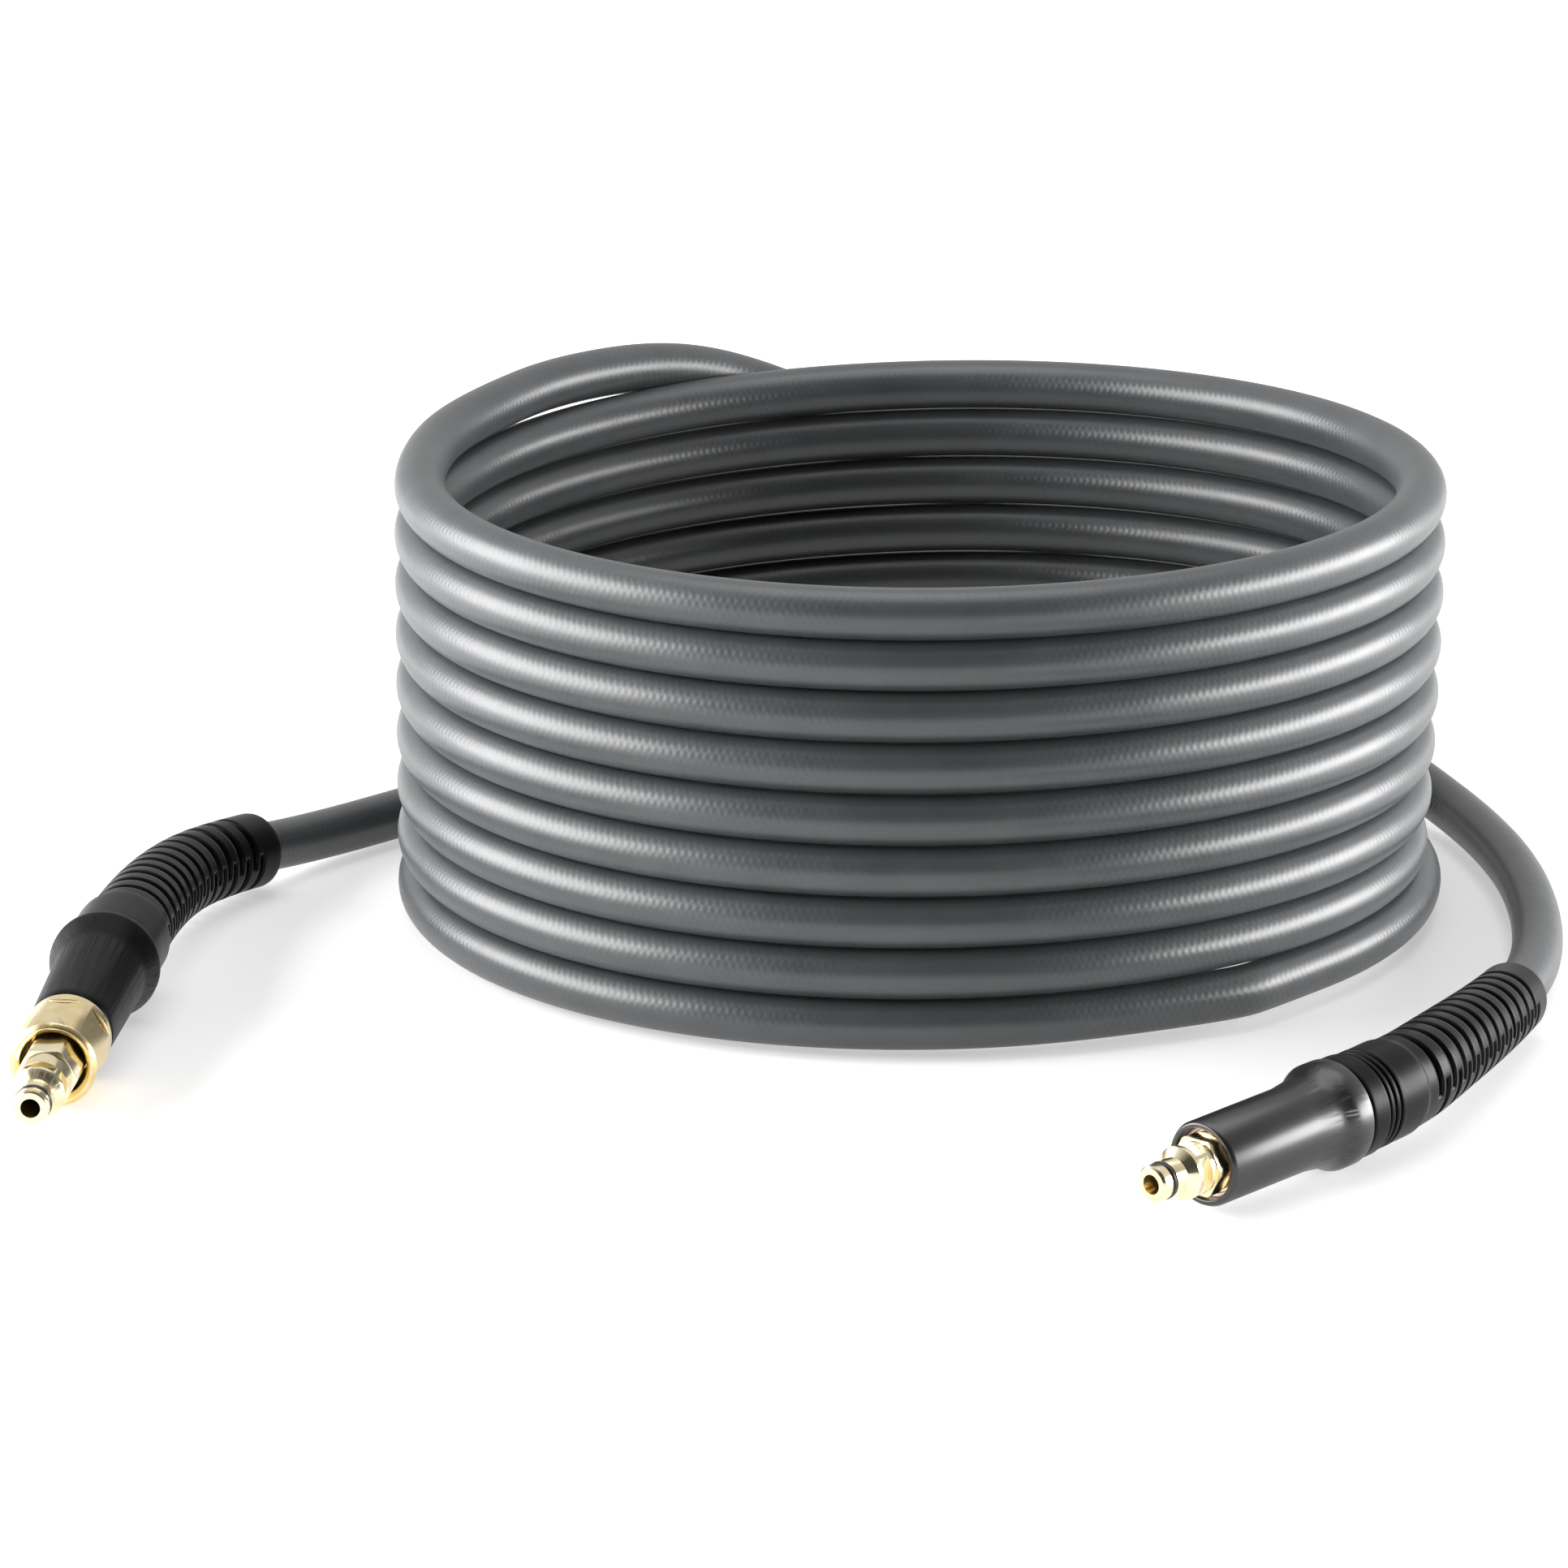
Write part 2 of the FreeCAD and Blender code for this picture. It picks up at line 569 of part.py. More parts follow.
CLIP = "(barb_length + stem_flange + seat_gap + bush_length + seat_gap)"
STEM_END = f"({CLIP} + clip_thickness + fit_gap + seat_gap + swivel_seal_length + spindle_nose)"
swivel_stem = turned("swivel_stem", stem_barbs() + [
    ("stem_flange_od / 2", "barb_length + stem_flange"),
    ("spigot_od / 2", "barb_length + stem_flange"),
    ("spigot_od / 2", CLIP),
    ("clip_groove / 2", CLIP),
    ("clip_groove / 2", f"{CLIP} + clip_thickness + fit_gap"),
    ("spigot_od / 2", f"{CLIP} + clip_thickness + fit_gap"),
    ("spigot_od / 2", STEM_END),
    ("bore / 2", STEM_END),
])
swivel_stem.Placement = gun.place(mm("gun_hose_in") - mm("barb_length"))

clip_at = swivel_back + mm("bush_length") + mm("seat_gap")
clip = turned("swivel_clip", [
    ("clip_groove / 2 + fit_gap / 2", "0"),
    ("clip_od / 2", "0"),
    ("clip_od / 2", "clip_thickness"),
    ("clip_groove / 2 + fit_gap / 2", "clip_thickness"),
])
clip.Placement = gun.place(clip_at + mm("fit_gap") / 2)

swivel_seal = turned("swivel_seal", [
    (bush_inner, "0"),
    ("swivel_chamber / 2", "0"),
    ("swivel_chamber / 2", "swivel_seal_length"),
    (bush_inner, "swivel_seal_length"),
])
swivel_seal.Placement = gun.place(clip_at + mm("clip_thickness") + mm("fit_gap") + mm("seat_gap"))

end_ring = turned("barrel_end_ring", [
    ("end_ring_inner / 2", "0"),
    ("barrel_mouth / 2 - fit_gap / 2", "0"),
    ("barrel_mouth / 2 - fit_gap / 2", "end_ring_thickness"),
    ("end_ring_inner / 2", "end_ring_thickness"),
])
end_ring.Placement = gun.place(gun_face)


# Routes of the hose. A route is straight runs joined by tangent arcs.

def arc_edge(start, corner, end):
    """The arc that leaves start and reaches end, both at the same distance from their corner."""
    middle = (start + end) * 0.5
    rise = (corner - middle).Length
    half = (start - middle).Length
    radius = half * math.hypot(half, rise) / rise
    bulge = radius - math.sqrt(radius * radius - half * half)
    return Part.Arc(start, middle + (corner - middle) * (bulge / rise), end).toShape(), radius


def rounded_route(points):
    """Edges of a route through hand-placed points, and its tightest arc."""
    edges, radii, last = [], [], points[0]
    for before, corner, after in zip(points, points[1:], points[2:]):
        back, ahead = before - corner, after - corner
        reach = 0.45 * min(back.Length, ahead.Length)
        back.normalize()
        ahead.normalize()
        start, end = corner + back * reach, corner + ahead * reach
        edges.append(Part.LineSegment(last, start).toShape())
        arc, radius = arc_edge(start, corner, end)
        edges.append(arc)
        radii.append(radius)
        last = end
    edges.append(Part.LineSegment(last, points[-1]).toShape())
    return edges, radii


def facet_ring(centre, way, across, sides):
    """A regular polygon square to a direction, with one flat underneath."""
    side = way.cross(UP)
    side.normalize()
    over = side.cross(way)
    radius = across / 2 / math.cos(math.pi / sides)
    corners = []
    for number in range(sides + 1):
        turn = 2 * math.pi * (number + 0.5) / sides - math.pi / 2
        corners.append(centre + side * (radius * math.cos(turn)) + over * (radius * math.sin(turn)))
    return Part.makePolygon(corners)


def faceted_tube(edges, sides, name):
    """A faceted tube along joined edges, checked against its section times its length."""
    spine = Part.Wire(edges)
    start = edges[0].valueAt(edges[0].FirstParameter)
    way = edges[0].tangentAt(edges[0].FirstParameter)
    shell = Part.BRepOffsetAPI.MakePipeShell(spine)
    shell.add(facet_ring(start, way, mm("hose_od"), sides))
    shell.build()
    shell.makeSolid()
    tube = shell.shape()
    section = sides * math.tan(math.pi / sides) * (mm("hose_od") / 2) ** 2
    ratio = tube.Volume / (section * spine.Length)
    print(f"{name}: {spine.Length:.0f} mm long, volume against section times length {ratio:.4f}")
    return tube, spine.Length


# The coil. The climb is steepest at the back and almost level at the front,
# and the lower turns are pulled in a little at the right.

def climb(angle):
    """Turns climbed at an angle, in degrees clockwise from the back."""
    climbed = max(angle, mm("coil_lift"))
    lift = math.radians(mm("coil_lift"))
    share = math.radians(climbed) - lift + math.sin(math.radians(climbed)) - math.sin(lift)
    return share / (2 * math.pi)


def coil_point(angle):
    turn = math.radians(angle)
    low = (1 - angle / mm("coil_last")) ** 2
    radius = mm("coil_radius") - mm("coil_inset") * low * (0.5 + 0.5 * math.cos(turn - math.pi / 2))
    height = mm("hose_od") / 2 + coil_pitch * climb(angle)
    return coil_axis + Vector(radius * math.sin(turn), radius * math.cos(turn), height)


def coil_way(angle):
    way = coil_point(angle + 0.02) - coil_point(angle - 0.02)
    way.normalize()
    return way


def biarc(start, start_way, end, end_way):
    """Two arcs that leave start and reach end along the given directions."""
    chord, both = end - start, start_way + end_way
    square = 4 - both.dot(both)
    linear = 2 * chord.dot(both)
    reach = (math.sqrt(linear * linear + 4 * square * chord.dot(chord)) - linear) / (2 * square)
    first, second = start + start_way * reach, end - end_way * reach
    middle = (first + second) * 0.5
    return [arc_edge(start, first, middle)[0], arc_edge(middle, second, end)[0]]


coil_angles = [mm("coil_first")]
while coil_angles[-1] < mm("coil_last"):
    next_quarter = (math.floor(coil_angles[-1] / 90) + 1) * 90
    coil_angles.append(min(next_quarter, mm("coil_last")))
coil_edges = []
for first, second in zip(coil_angles, coil_angles[1:]):
    coil_edges += biarc(coil_point(first), coil_way(first), coil_point(second), coil_way(second))
coil_tube, coil_length = faceted_tube(coil_edges, int(mm("hose_sides")), "coil")

least = min(
    (coil_point(angle + 360 + slip) - coil_point(angle)).Length - mm("hose_od")
    for angle in range(int(mm("coil_first")), int(mm("coil_last")) - 366, 5)
    for slip in (-2, 0, 2)
)
print(f"coil: least gap between turns {least:.2f} mm")

hose_coil = doc.addObject("Part::Feature", "hose_coil")
hose_coil.Shape = coil_tube


# The free ends. They run from the fitting to the coil.

def tail_points(axis, hose_in, straight, hand_points, coil_angle, coil_run):
    """A free end's route from its stem to the coil, tangent to both."""
    end = coil_point(coil_angle)
    middle = [laid(*point) for point in hand_points]
    return (
        [axis.at(hose_in), axis.at(-straight)] + middle
        + [end + coil_way(coil_angle) * coil_run, end]
    )


machine_points = tail_points(
    machine, mm("machine_hose_in"), mm("machine_straight"), MACHINE_TAIL, mm("coil_first"),
    -mm("machine_lead"),
)
gun_points = tail_points(
    gun, mm("gun_hose_in"), mm("gun_straight"), GUN_TAIL, mm("coil_last"), mm("gun_lead"),
)


def hose_tail(label, points):
    """A free end, with the bore that its stem goes into."""
    edges, radii = rounded_route(points)
    from_coil = rounded_route(points[::-1])[0]
    tube, length = faceted_tube(from_coil, int(mm("tail_sides")), label)
    inward = points[1] - points[0]
    inward.normalize()
    bore = Part.makeCylinder(mm("barb_od") / 2 + mm("fit_gap"), mm("barb_length"), points[0], inward)
    print(f"{label}: radii " + ", ".join(f"{radius:.0f}" for radius in radii))
    tail = doc.addObject("Part::Feature", label)
    tail.Shape = tube.cut(bore)
    return edges, length


machine_route, machine_tail_length = hose_tail("hose_tail_machine", machine_points)
gun_route, gun_tail_length = hose_tail("hose_tail_gun", gun_points)
print(f"hose: {coil_length + machine_tail_length + gun_tail_length:.0f} mm in all")


# Bend guards, ribbed rubber mouldings that follow the hose out of each end.

def along(edges, distance):
    """Point and direction at a distance along a route."""
    for edge in edges:
        if distance <= edge.Length or edge is edges[-1]:
            where = edge.getParameterByLength(distance)
            return edge.valueAt(where), edge.tangentAt(where)
        distance -= edge.Length


def rib_run(start, count, front_radius, end_radius):
    """Sections of a run of ribs: four to a rib."""
    sections = []
    for number in range(count):
        share = number / max(count - 1, 1)
        top = front_radius + (end_radius - front_radius) * share
        root = top - mm("rib_depth")
        begin = start + number * mm("rib_pitch")
        sections += [
            (begin, root),
            (begin + mm("rib_slope"), top),
            (begin + mm("rib_slope") + mm("rib_land"), top),
            (begin + 2 * mm("rib_slope") + mm("rib_land"), root),
        ]
    return sections


def guard_solid(edges, offset, sections):
    """A ruled loft through polygons along a route: sections are distance and radius."""
    sides = int(mm("guard_sides"))
    rings = []
    for distance, radius in sections:
        centre, way = along(edges, distance + offset)
        rings.append(facet_ring(centre, way, radius * 2, sides))
    return Part.makeLoft(rings, True, True)


def bend_guard(label, edges, front, sections, bores):
    """A guard whose front lies at a distance along the route from the hose end."""
    outside = guard_solid(edges, front, sections)
    inside = guard_solid(edges, front, bores)
    guard = doc.addObject("Part::Feature", label)
    guard.Shape = outside.cut(inside)


guard_flat = math.cos(math.pi / mm("guard_sides"))
hose_bore = tail_corner + mm("guard_wall_gap")
machine_rib_start = mm("machine_guard_band") + mm("machine_rib_gap")
machine_guard_end = machine_rib_start + mm("machine_guard_ribs") * mm("rib_pitch")
nose_radius = mm("stem_flange_od") / 2 * guard_flat
machine_sections = [
    (-mm("machine_guard_nose"), nose_radius),
    (0.0, nose_radius),
    (mm("square_step"), mm("machine_guard_band_od") / 2),
    (mm("machine_guard_band"), mm("machine_guard_band_od") / 2),
    (
        mm("machine_guard_band") + mm("machine_rib_gap") / 2,
        mm("machine_guard_front_od") / 2 - mm("rib_depth"),
    ),
] + rib_run(
    machine_rib_start, int(mm("machine_guard_ribs")),
    mm("machine_guard_front_od") / 2, mm("machine_guard_end_od") / 2,
) + [
    (machine_guard_end, mm("machine_guard_end_od") / 2 - mm("rib_depth")),
    (machine_guard_end + mm("rib_slope"), mm("machine_guard_end_od") / 2),
    (machine_guard_end + mm("guard_end_round"), mm("machine_guard_end_od") / 2),
    (machine_guard_end + 2 * mm("guard_end_round"), hose_bore + mm("guard_end_wall")),
]
machine_bores = [(-mm("machine_guard_nose") - mm("square_step"), hose_bore)]
while machine_bores[-1][0] < machine_guard_end + 2 * mm("guard_end_round"):
    machine_bores.append((machine_bores[-1][0] + mm("bore_step"), hose_bore))
bend_guard(
    "machine_bend_guard", machine_route, mm("machine_hose_in"), machine_sections, machine_bores,
)

collar_radius = mm("gun_guard_collar_od") / 2
gun_sections = [
    (mm("gun_guard_gap"), collar_radius),
    (mm("gun_guard_collar"), collar_radius),
]
for number in range(int(mm("fine_ribs"))):
    begin = mm("gun_guard_collar") + mm("fine_slope") + number * mm("fine_rib_pitch")
    fine_top = collar_radius - mm("fine_drop")
    gun_sections += [
        (begin, fine_top - mm("fine_depth")),
        (begin + mm("fine_groove"), fine_top - mm("fine_depth")),
        (begin + mm("fine_groove") + mm("fine_slope"), fine_top),
        (begin + mm("fine_rib_pitch") - mm("fine_slope"), fine_top),
    ]
band_start = mm("gun_guard_collar") + mm("fine_slope") + mm("fine_ribs") * mm("fine_rib_pitch")
gun_rib_start = band_start + mm("gun_guard_band") + mm("gun_rib_gap")
gun_guard_end = gun_rib_start + mm("gun_guard_ribs") * mm("rib_pitch")
gun_sections += [
    (band_start + mm("gun_guard_band"), mm("gun_guard_front_od") / 2 + mm("fine_drop")),
] + rib_run(
    gun_rib_start, int(mm("gun_guard_ribs")),
    mm("gun_guard_front_od") / 2, mm("gun_guard_end_od") / 2,
) + [
    (gun_guard_end, mm("gun_guard_end_od") / 2 - mm("rib_depth")),
    (gun_guard_end + mm("rib_slope"), mm("gun_guard_end_od") / 2),
    (gun_guard_end + mm("guard_end_round"), mm("gun_guard_end_od") / 2),
    (gun_guard_end + 2 * mm("guard_end_round"), hose_bore + mm("guard_end_wall")),
]
socket_radius = mm("ferrule_od") / 2 + mm("fit_gap")
socket_end = mm("ferrule_length") - mm("gun_hose_in") + mm("socket_spare")
gun_bores = [
    (mm("gun_guard_gap") - mm("square_step"), socket_radius),
    (socket_end, socket_radius),
    (socket_end + mm("rib_slope"), hose_bore),
]
while gun_bores[-1][0] < gun_guard_end + 2 * mm("guard_end_round"):
    gun_bores.append((gun_bores[-1][0] + mm("bore_step"), hose_bore))
bend_guard("gun_bend_guard", gun_route, mm("gun_hose_in"), gun_sections, gun_bores)


# Check and write every piece.

doc.recompute()
nodes = [
    item for item in doc.Objects
    if item.TypeId == "PartDesign::Body" or item.TypeId == "Part::Feature"
]
broken = [item.Label for item in doc.Objects if {"Invalid", "Error"} & set(item.State)]
broken += [item.Label for item in nodes if item.Shape.isNull() or not item.Shape.isValid()]
if broken:
    raise RuntimeError("these pieces failed: " + ", ".join(broken))

os.makedirs("parts", exist_ok=True)
for item in nodes:
    item.Shape.exportStep(os.path.join("parts", item.Label + ".step"))
    print(f"{item.Label}: {len(item.Shape.Solids)} solid, {item.Shape.Volume:.0f} mm3")

whole = FreeCAD.BoundBox()
for item in nodes:
    whole.add(item.Shape.BoundBox)
print(f"whole: {whole}")
for label, axis, nose in (("machine", machine, machine_nose_at), ("gun", gun, gun_nose_at)):
    print(f"{label} axis: way {tuple(axis.way)}, foot {tuple(axis.at(0))}, nose {tuple(axis.at(nose))}")
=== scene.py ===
# %% [markdown]
# # A coiled pressure hose with a quick plug at each end
# The object is ten metres of grey hose, wound into a neat upright coil. Both of its ends lie on
# the floor in front, each in a black bend guard with a brass plug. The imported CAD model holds
# every piece at its real size. This notebook gives those pieces their finish, and replaces the
# faceted hose and guards by smooth ones that lie in the same place.
#
# The first cell loads the model as a fixed frame. Everything is in metres there, and each piece
# sits at its place already, so nothing has to be fitted.

# %% Load the fixed frame
import json
import math

import bmesh
import bpy
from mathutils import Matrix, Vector


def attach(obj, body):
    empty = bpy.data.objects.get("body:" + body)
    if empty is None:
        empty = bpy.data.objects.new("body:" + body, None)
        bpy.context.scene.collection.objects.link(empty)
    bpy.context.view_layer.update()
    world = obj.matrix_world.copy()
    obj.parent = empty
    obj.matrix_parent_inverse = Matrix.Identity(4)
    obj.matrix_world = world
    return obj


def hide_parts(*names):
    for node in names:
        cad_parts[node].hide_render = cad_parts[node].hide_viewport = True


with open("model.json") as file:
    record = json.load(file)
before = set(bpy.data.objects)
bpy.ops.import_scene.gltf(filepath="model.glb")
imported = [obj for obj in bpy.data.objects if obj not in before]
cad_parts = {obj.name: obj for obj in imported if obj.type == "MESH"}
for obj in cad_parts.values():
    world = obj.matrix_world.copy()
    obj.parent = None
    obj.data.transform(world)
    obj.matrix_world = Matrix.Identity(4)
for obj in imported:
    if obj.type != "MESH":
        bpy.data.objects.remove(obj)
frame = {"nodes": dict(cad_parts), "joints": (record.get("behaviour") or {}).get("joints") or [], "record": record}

MM = 0.001
UP = Vector((0, 0, 1))
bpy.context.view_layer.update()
print("pieces in the frame:", len(frame["nodes"]))


# %% [markdown]
# ## The camera
# The coil is seen from the front, a little from above, through a long lens, so that its front and
# back turns look almost equally wide. A small vertical shift frames the picture without tilting
# the camera further.

# %% Camera
CAMERA_PLACE = Vector((-0.0072, -2.7582, 0.8699))
CAMERA_DOWN = math.radians(15.818)
CAMERA_LENS = 210.79
CAMERA_SHIFT_Y = -0.05678
SENSOR_WIDTH = 36.0
CLIP_START = 0.1
CLIP_END = 60.0

camera_data = bpy.data.cameras.new("camera")
camera_data.lens = CAMERA_LENS
camera_data.sensor_width = SENSOR_WIDTH
camera_data.shift_y = CAMERA_SHIFT_Y
camera_data.clip_start = CLIP_START
camera_data.clip_end = CLIP_END
camera = bpy.data.objects.new("camera", camera_data)
camera.location = CAMERA_PLACE
camera.rotation_euler = (math.radians(90) - CAMERA_DOWN, 0, 0)
bpy.context.scene.collection.objects.link(camera)
bpy.context.scene.camera = camera
print("camera stands", round(CAMERA_PLACE.length, 3), "m from the middle of the floor")


# %% [markdown]
# ## Where the two ends lie
# Both metal ends are straight, and the frame's two joints already say where their axes are: the
# union nut turns about one and the swivel barrel about the other. A small class keeps a point and
# a direction, and counts stations along it from the rear of the end, as a fitter would.

# %% Axes of the two ends
NUT_MIDDLE = 76.85 * MM
BARREL_MIDDLE = 29.0 * MM


class EndAxis:
    """The straight axis of one end, with stations counted from its rear face."""

    def __init__(self, joint_name, middle):
        joint = next(j for j in frame["joints"] if j["name"] == joint_name)
        self.way = Vector(joint["axis"]).normalized()
        self.foot = Vector(joint["pos_m"]) - self.way * middle

    def at(self, station):
        return self.foot + self.way * station


machine = EndAxis("union_nut_turn", NUT_MIDDLE)
gun = EndAxis("swivel_turn", BARREL_MIDDLE)
print("machine end starts at", [round(c, 4) for c in machine.foot])
print("gun end starts at", [round(c, 4) for c in gun.foot])


# %% [markdown]
# ## The hose's route
# The hose is one smooth curve from stem to stem. Its coiled part is worked out by a loop. Each
# turn climbs mostly at the back, which is how a hose settles when it is wound by hand. The lowest
# turns are pulled in a little, and the turns lean up a little towards the front right. Every turn
# could be a ring of its own, but then the hose would not be one length.

# %% Coil
COIL_CENTRE = Vector((0.036, 0.0651, 0))
COIL_RADIUS = 159.0 * MM
COIL_PITCH = 16.4 * MM
COIL_FIRST = 158.0
COIL_LAST = 3155.0
COIL_CLIMB_FROM = 160.0
COIL_INSET = 5.5 * MM
COIL_LEAN = 2.6 * MM
COIL_LEAN_SIDE = math.radians(145)
COIL_LEAN_LOSS = 0.6
COIL_INSET_SIDE = math.radians(90)
HOSE_RADIUS = 8.0 * MM
POINTS_PER_TURN = 24


def climb(angle):
    """Turns climbed at an angle, in degrees clockwise from the back."""
    share = math.radians(max(angle, COIL_CLIMB_FROM) - COIL_CLIMB_FROM)
    return (share - math.sin(share)) / (2 * math.pi)


def facing(angle, side):
    """One where an angle in degrees looks towards a side, and nought across from it."""
    return 0.5 + 0.5 * math.cos(math.radians(angle) - side)


def lean(angle):
    """How far the turns sit above their even height; the topmost ones lean less."""
    loss = COIL_LEAN_LOSS * (angle / COIL_LAST) ** 6
    return COIL_LEAN * facing(angle, COIL_LEAN_SIDE) ** 2 * (1 - loss)


def coil_point(angle, swell=1.0):
    """A point of the coil; swell moves it out, where the spline then cuts inside it."""
    turn = math.radians(angle)
    low = (1 - angle / COIL_LAST) ** 2
    radius = swell * (COIL_RADIUS - COIL_INSET * low * facing(angle, COIL_INSET_SIDE))
    height = HOSE_RADIUS + COIL_PITCH * climb(angle) + lean(angle)
    return COIL_CENTRE + Vector((radius * math.sin(turn), radius * math.cos(turn), height))


def coil_way(angle):
    """The direction in which the coil runs at an angle."""
    return (coil_point(angle + 0.02) - coil_point(angle - 0.02)).normalized()


coil_sweep = COIL_LAST - COIL_FIRST
turn_count = coil_sweep / 360
coil_steps = round(turn_count * POINTS_PER_TURN)
outward = 1 / math.cos(math.radians(coil_sweep / coil_steps / 2))
coil_controls = [
    coil_point(COIL_FIRST + coil_sweep * (step + 0.5) / coil_steps, outward)
    for step in range(coil_steps)
]
print("coil:", round(turn_count, 2), "turns,", coil_steps, "control points")


# %% [markdown]
# ### The two free ends
# The left end leaves its guard, runs behind the coil and round its right side, and becomes the
# lowest turn. The right end comes down from the top turn behind the coil, and then runs forward
# along the floor. Their points are listed one by one, because such a run follows no rule. Both
# leave their metal end straight for a short way, as a stiff hose does.

# %% Free ends
MACHINE_HOSE_IN = 30.0 * MM
MACHINE_STRAIGHT = 26.0 * MM
GUN_HOSE_IN = 14.0 * MM
GUN_STRAIGHT = 27.0 * MM
COIL_LEAD_IN = 40.0 * MM
COIL_LEAD_OUT = 30.0 * MM

MACHINE_TAIL = [
    (-0.2390, -0.0220, 0.0158),
    (-0.2190, 0.0125, 0.0138),
    (-0.2000, 0.0405, 0.0096),
    (-0.1755, 0.0692, 0.0083),
    (-0.1470, 0.1006, 0.0083),
    (-0.1070, 0.1406, 0.0083),
    (-0.0525, 0.1685, 0.0083),
    (0.0055, 0.1755, 0.0083),
    (0.0600, 0.1640, 0.0083),
    (0.1075, 0.1335, 0.0085),
    (0.1430, 0.0880, 0.0087),
    (0.1610, 0.0330, 0.0092),
    (0.1592, -0.0239, 0.0098),
    (0.1400, -0.0753, 0.0103),
    (0.1065, -0.1170, 0.0107),
]
GUN_TAIL = [
    (0.1539, -0.2035, 0.0160),
    (0.1707, -0.1629, 0.0134),
    (0.1850, -0.1213, 0.0106),
    (0.1930, -0.0801, 0.0085),
    (0.1956, -0.0382, 0.0083),
    (0.1938, 0.0038, 0.0083),
    (0.1872, 0.0453, 0.0083),
    (0.1748, 0.0880, 0.0090),
    (0.1470, 0.1270, 0.0200),
    (0.1065, 0.1590, 0.0460),
    (0.0547, 0.1790, 0.0770),
    (0.0000, 0.1855, 0.1040),
    (-0.0519, 0.1697, 0.1316),
    (-0.0824, 0.1487, 0.1430),
    (-0.1174, 0.1174, 0.1450),
    (-0.1407, 0.0815, 0.1436),
]


def from_coil(points):
    """Points that were placed from the middle of the coil, in the frame's own place."""
    return [Vector(point) + COIL_CENTRE for point in points]


machine_controls = (
    [machine.at(MACHINE_HOSE_IN), machine.at(-MACHINE_STRAIGHT)] + from_coil(MACHINE_TAIL)
    + [coil_point(COIL_FIRST) - coil_way(COIL_FIRST) * COIL_LEAD_IN]
)
gun_controls = (
    [coil_point(COIL_LAST) + coil_way(COIL_LAST) * COIL_LEAD_OUT] + from_coil(reversed(GUN_TAIL))
    + [gun.at(-GUN_STRAIGHT), gun.at(GUN_HOSE_IN)]
)
hose_controls = machine_controls + coil_controls + gun_controls


# %% [markdown]
# ### One spline for the whole hose
# A NURBS spline of order three runs near all these points without any corner, so the hose bends
# as softly as a real one. Blender works the spline out, and evenly spaced points are then read
# from it, because the guards and the braid need to know how far along the hose they are.

# %% The spline, and the points read from it
SPLINE_RESOLUTION = 10
RING_SPACING = 4.0 * MM


def spline_points(name, controls, resolution):
    """Points along a smooth NURBS curve, read from it as Blender draws it."""
    data = bpy.data.curves.new(name, "CURVE")
    data.dimensions = "3D"
    data.resolution_u = resolution
    spline = data.splines.new("NURBS")
    spline.points.add(len(controls) - 1)
    for point, place in zip(spline.points, controls):
        point.co = (*place, 1.0)
    spline.order_u = 3
    spline.use_endpoint_u = True
    curve = bpy.data.objects.new(name, data)
    bpy.context.scene.collection.objects.link(curve)
    bpy.context.view_layer.update()
    line = bpy.data.meshes.new_from_object(curve)
    places = [vertex.co.copy() for vertex in line.vertices]
    bpy.data.objects.remove(curve)
    bpy.data.meshes.remove(line)
    return places


def resampled(places, spacing):
    """The same line with evenly spaced points, and its length."""
    lengths = [0.0]
    for before, after in zip(places, places[1:]):
        lengths.append(lengths[-1] + (after - before).length)
    total = lengths[-1]
    count = max(2, round(total / spacing))
    result, index = [], 0
    for step in range(count + 1):
        wanted = total * step / count
        while index < len(lengths) - 2 and lengths[index + 1] < wanted:
            index += 1
        share = (wanted - lengths[index]) / (lengths[index + 1] - lengths[index])
        result.append(places[index].lerp(places[index + 1], min(max(share, 0.0), 1.0)))
    return result, total


hose_route = spline_points("hose_route", hose_controls, SPLINE_RESOLUTION)
hose_line, hose_length = resampled(hose_route, RING_SPACING)
print("hose length", round(hose_length, 3), "m in", len(hose_line), "rings")


# %% [markdown]
# ## Tubes along a line
# A hose and a bend guard are the same kind of form: rings of points set square to a line. Each
# ring's frame is carried over from the ring before it with the smallest possible turn, so the
# surface never twists. The distance along the line and the way round it are kept as a UV map,
# in metres and in turns, which lets a material lay braid or ribs along the piece at real size.

# %% Frames along a line
def line_frames(places):
    """For each point: the point, and two directions square to the line."""
    count = len(places)
    frames, over = [], UP
    for index, place in enumerate(places):
        ahead = places[min(index + 1, count - 1)]
        behind = places[max(index - 1, 0)]
        way = (ahead - behind).normalized()
        over = (over - way * over.dot(way)).normalized()
        frames.append((place, way.cross(over).normalized(), over))
    return frames


def new_piece(name, mesh):
    """An object for a mesh, put in the scene."""
    piece = bpy.data.objects.new(name, mesh)
    bpy.context.scene.collection.objects.link(piece)
    return piece


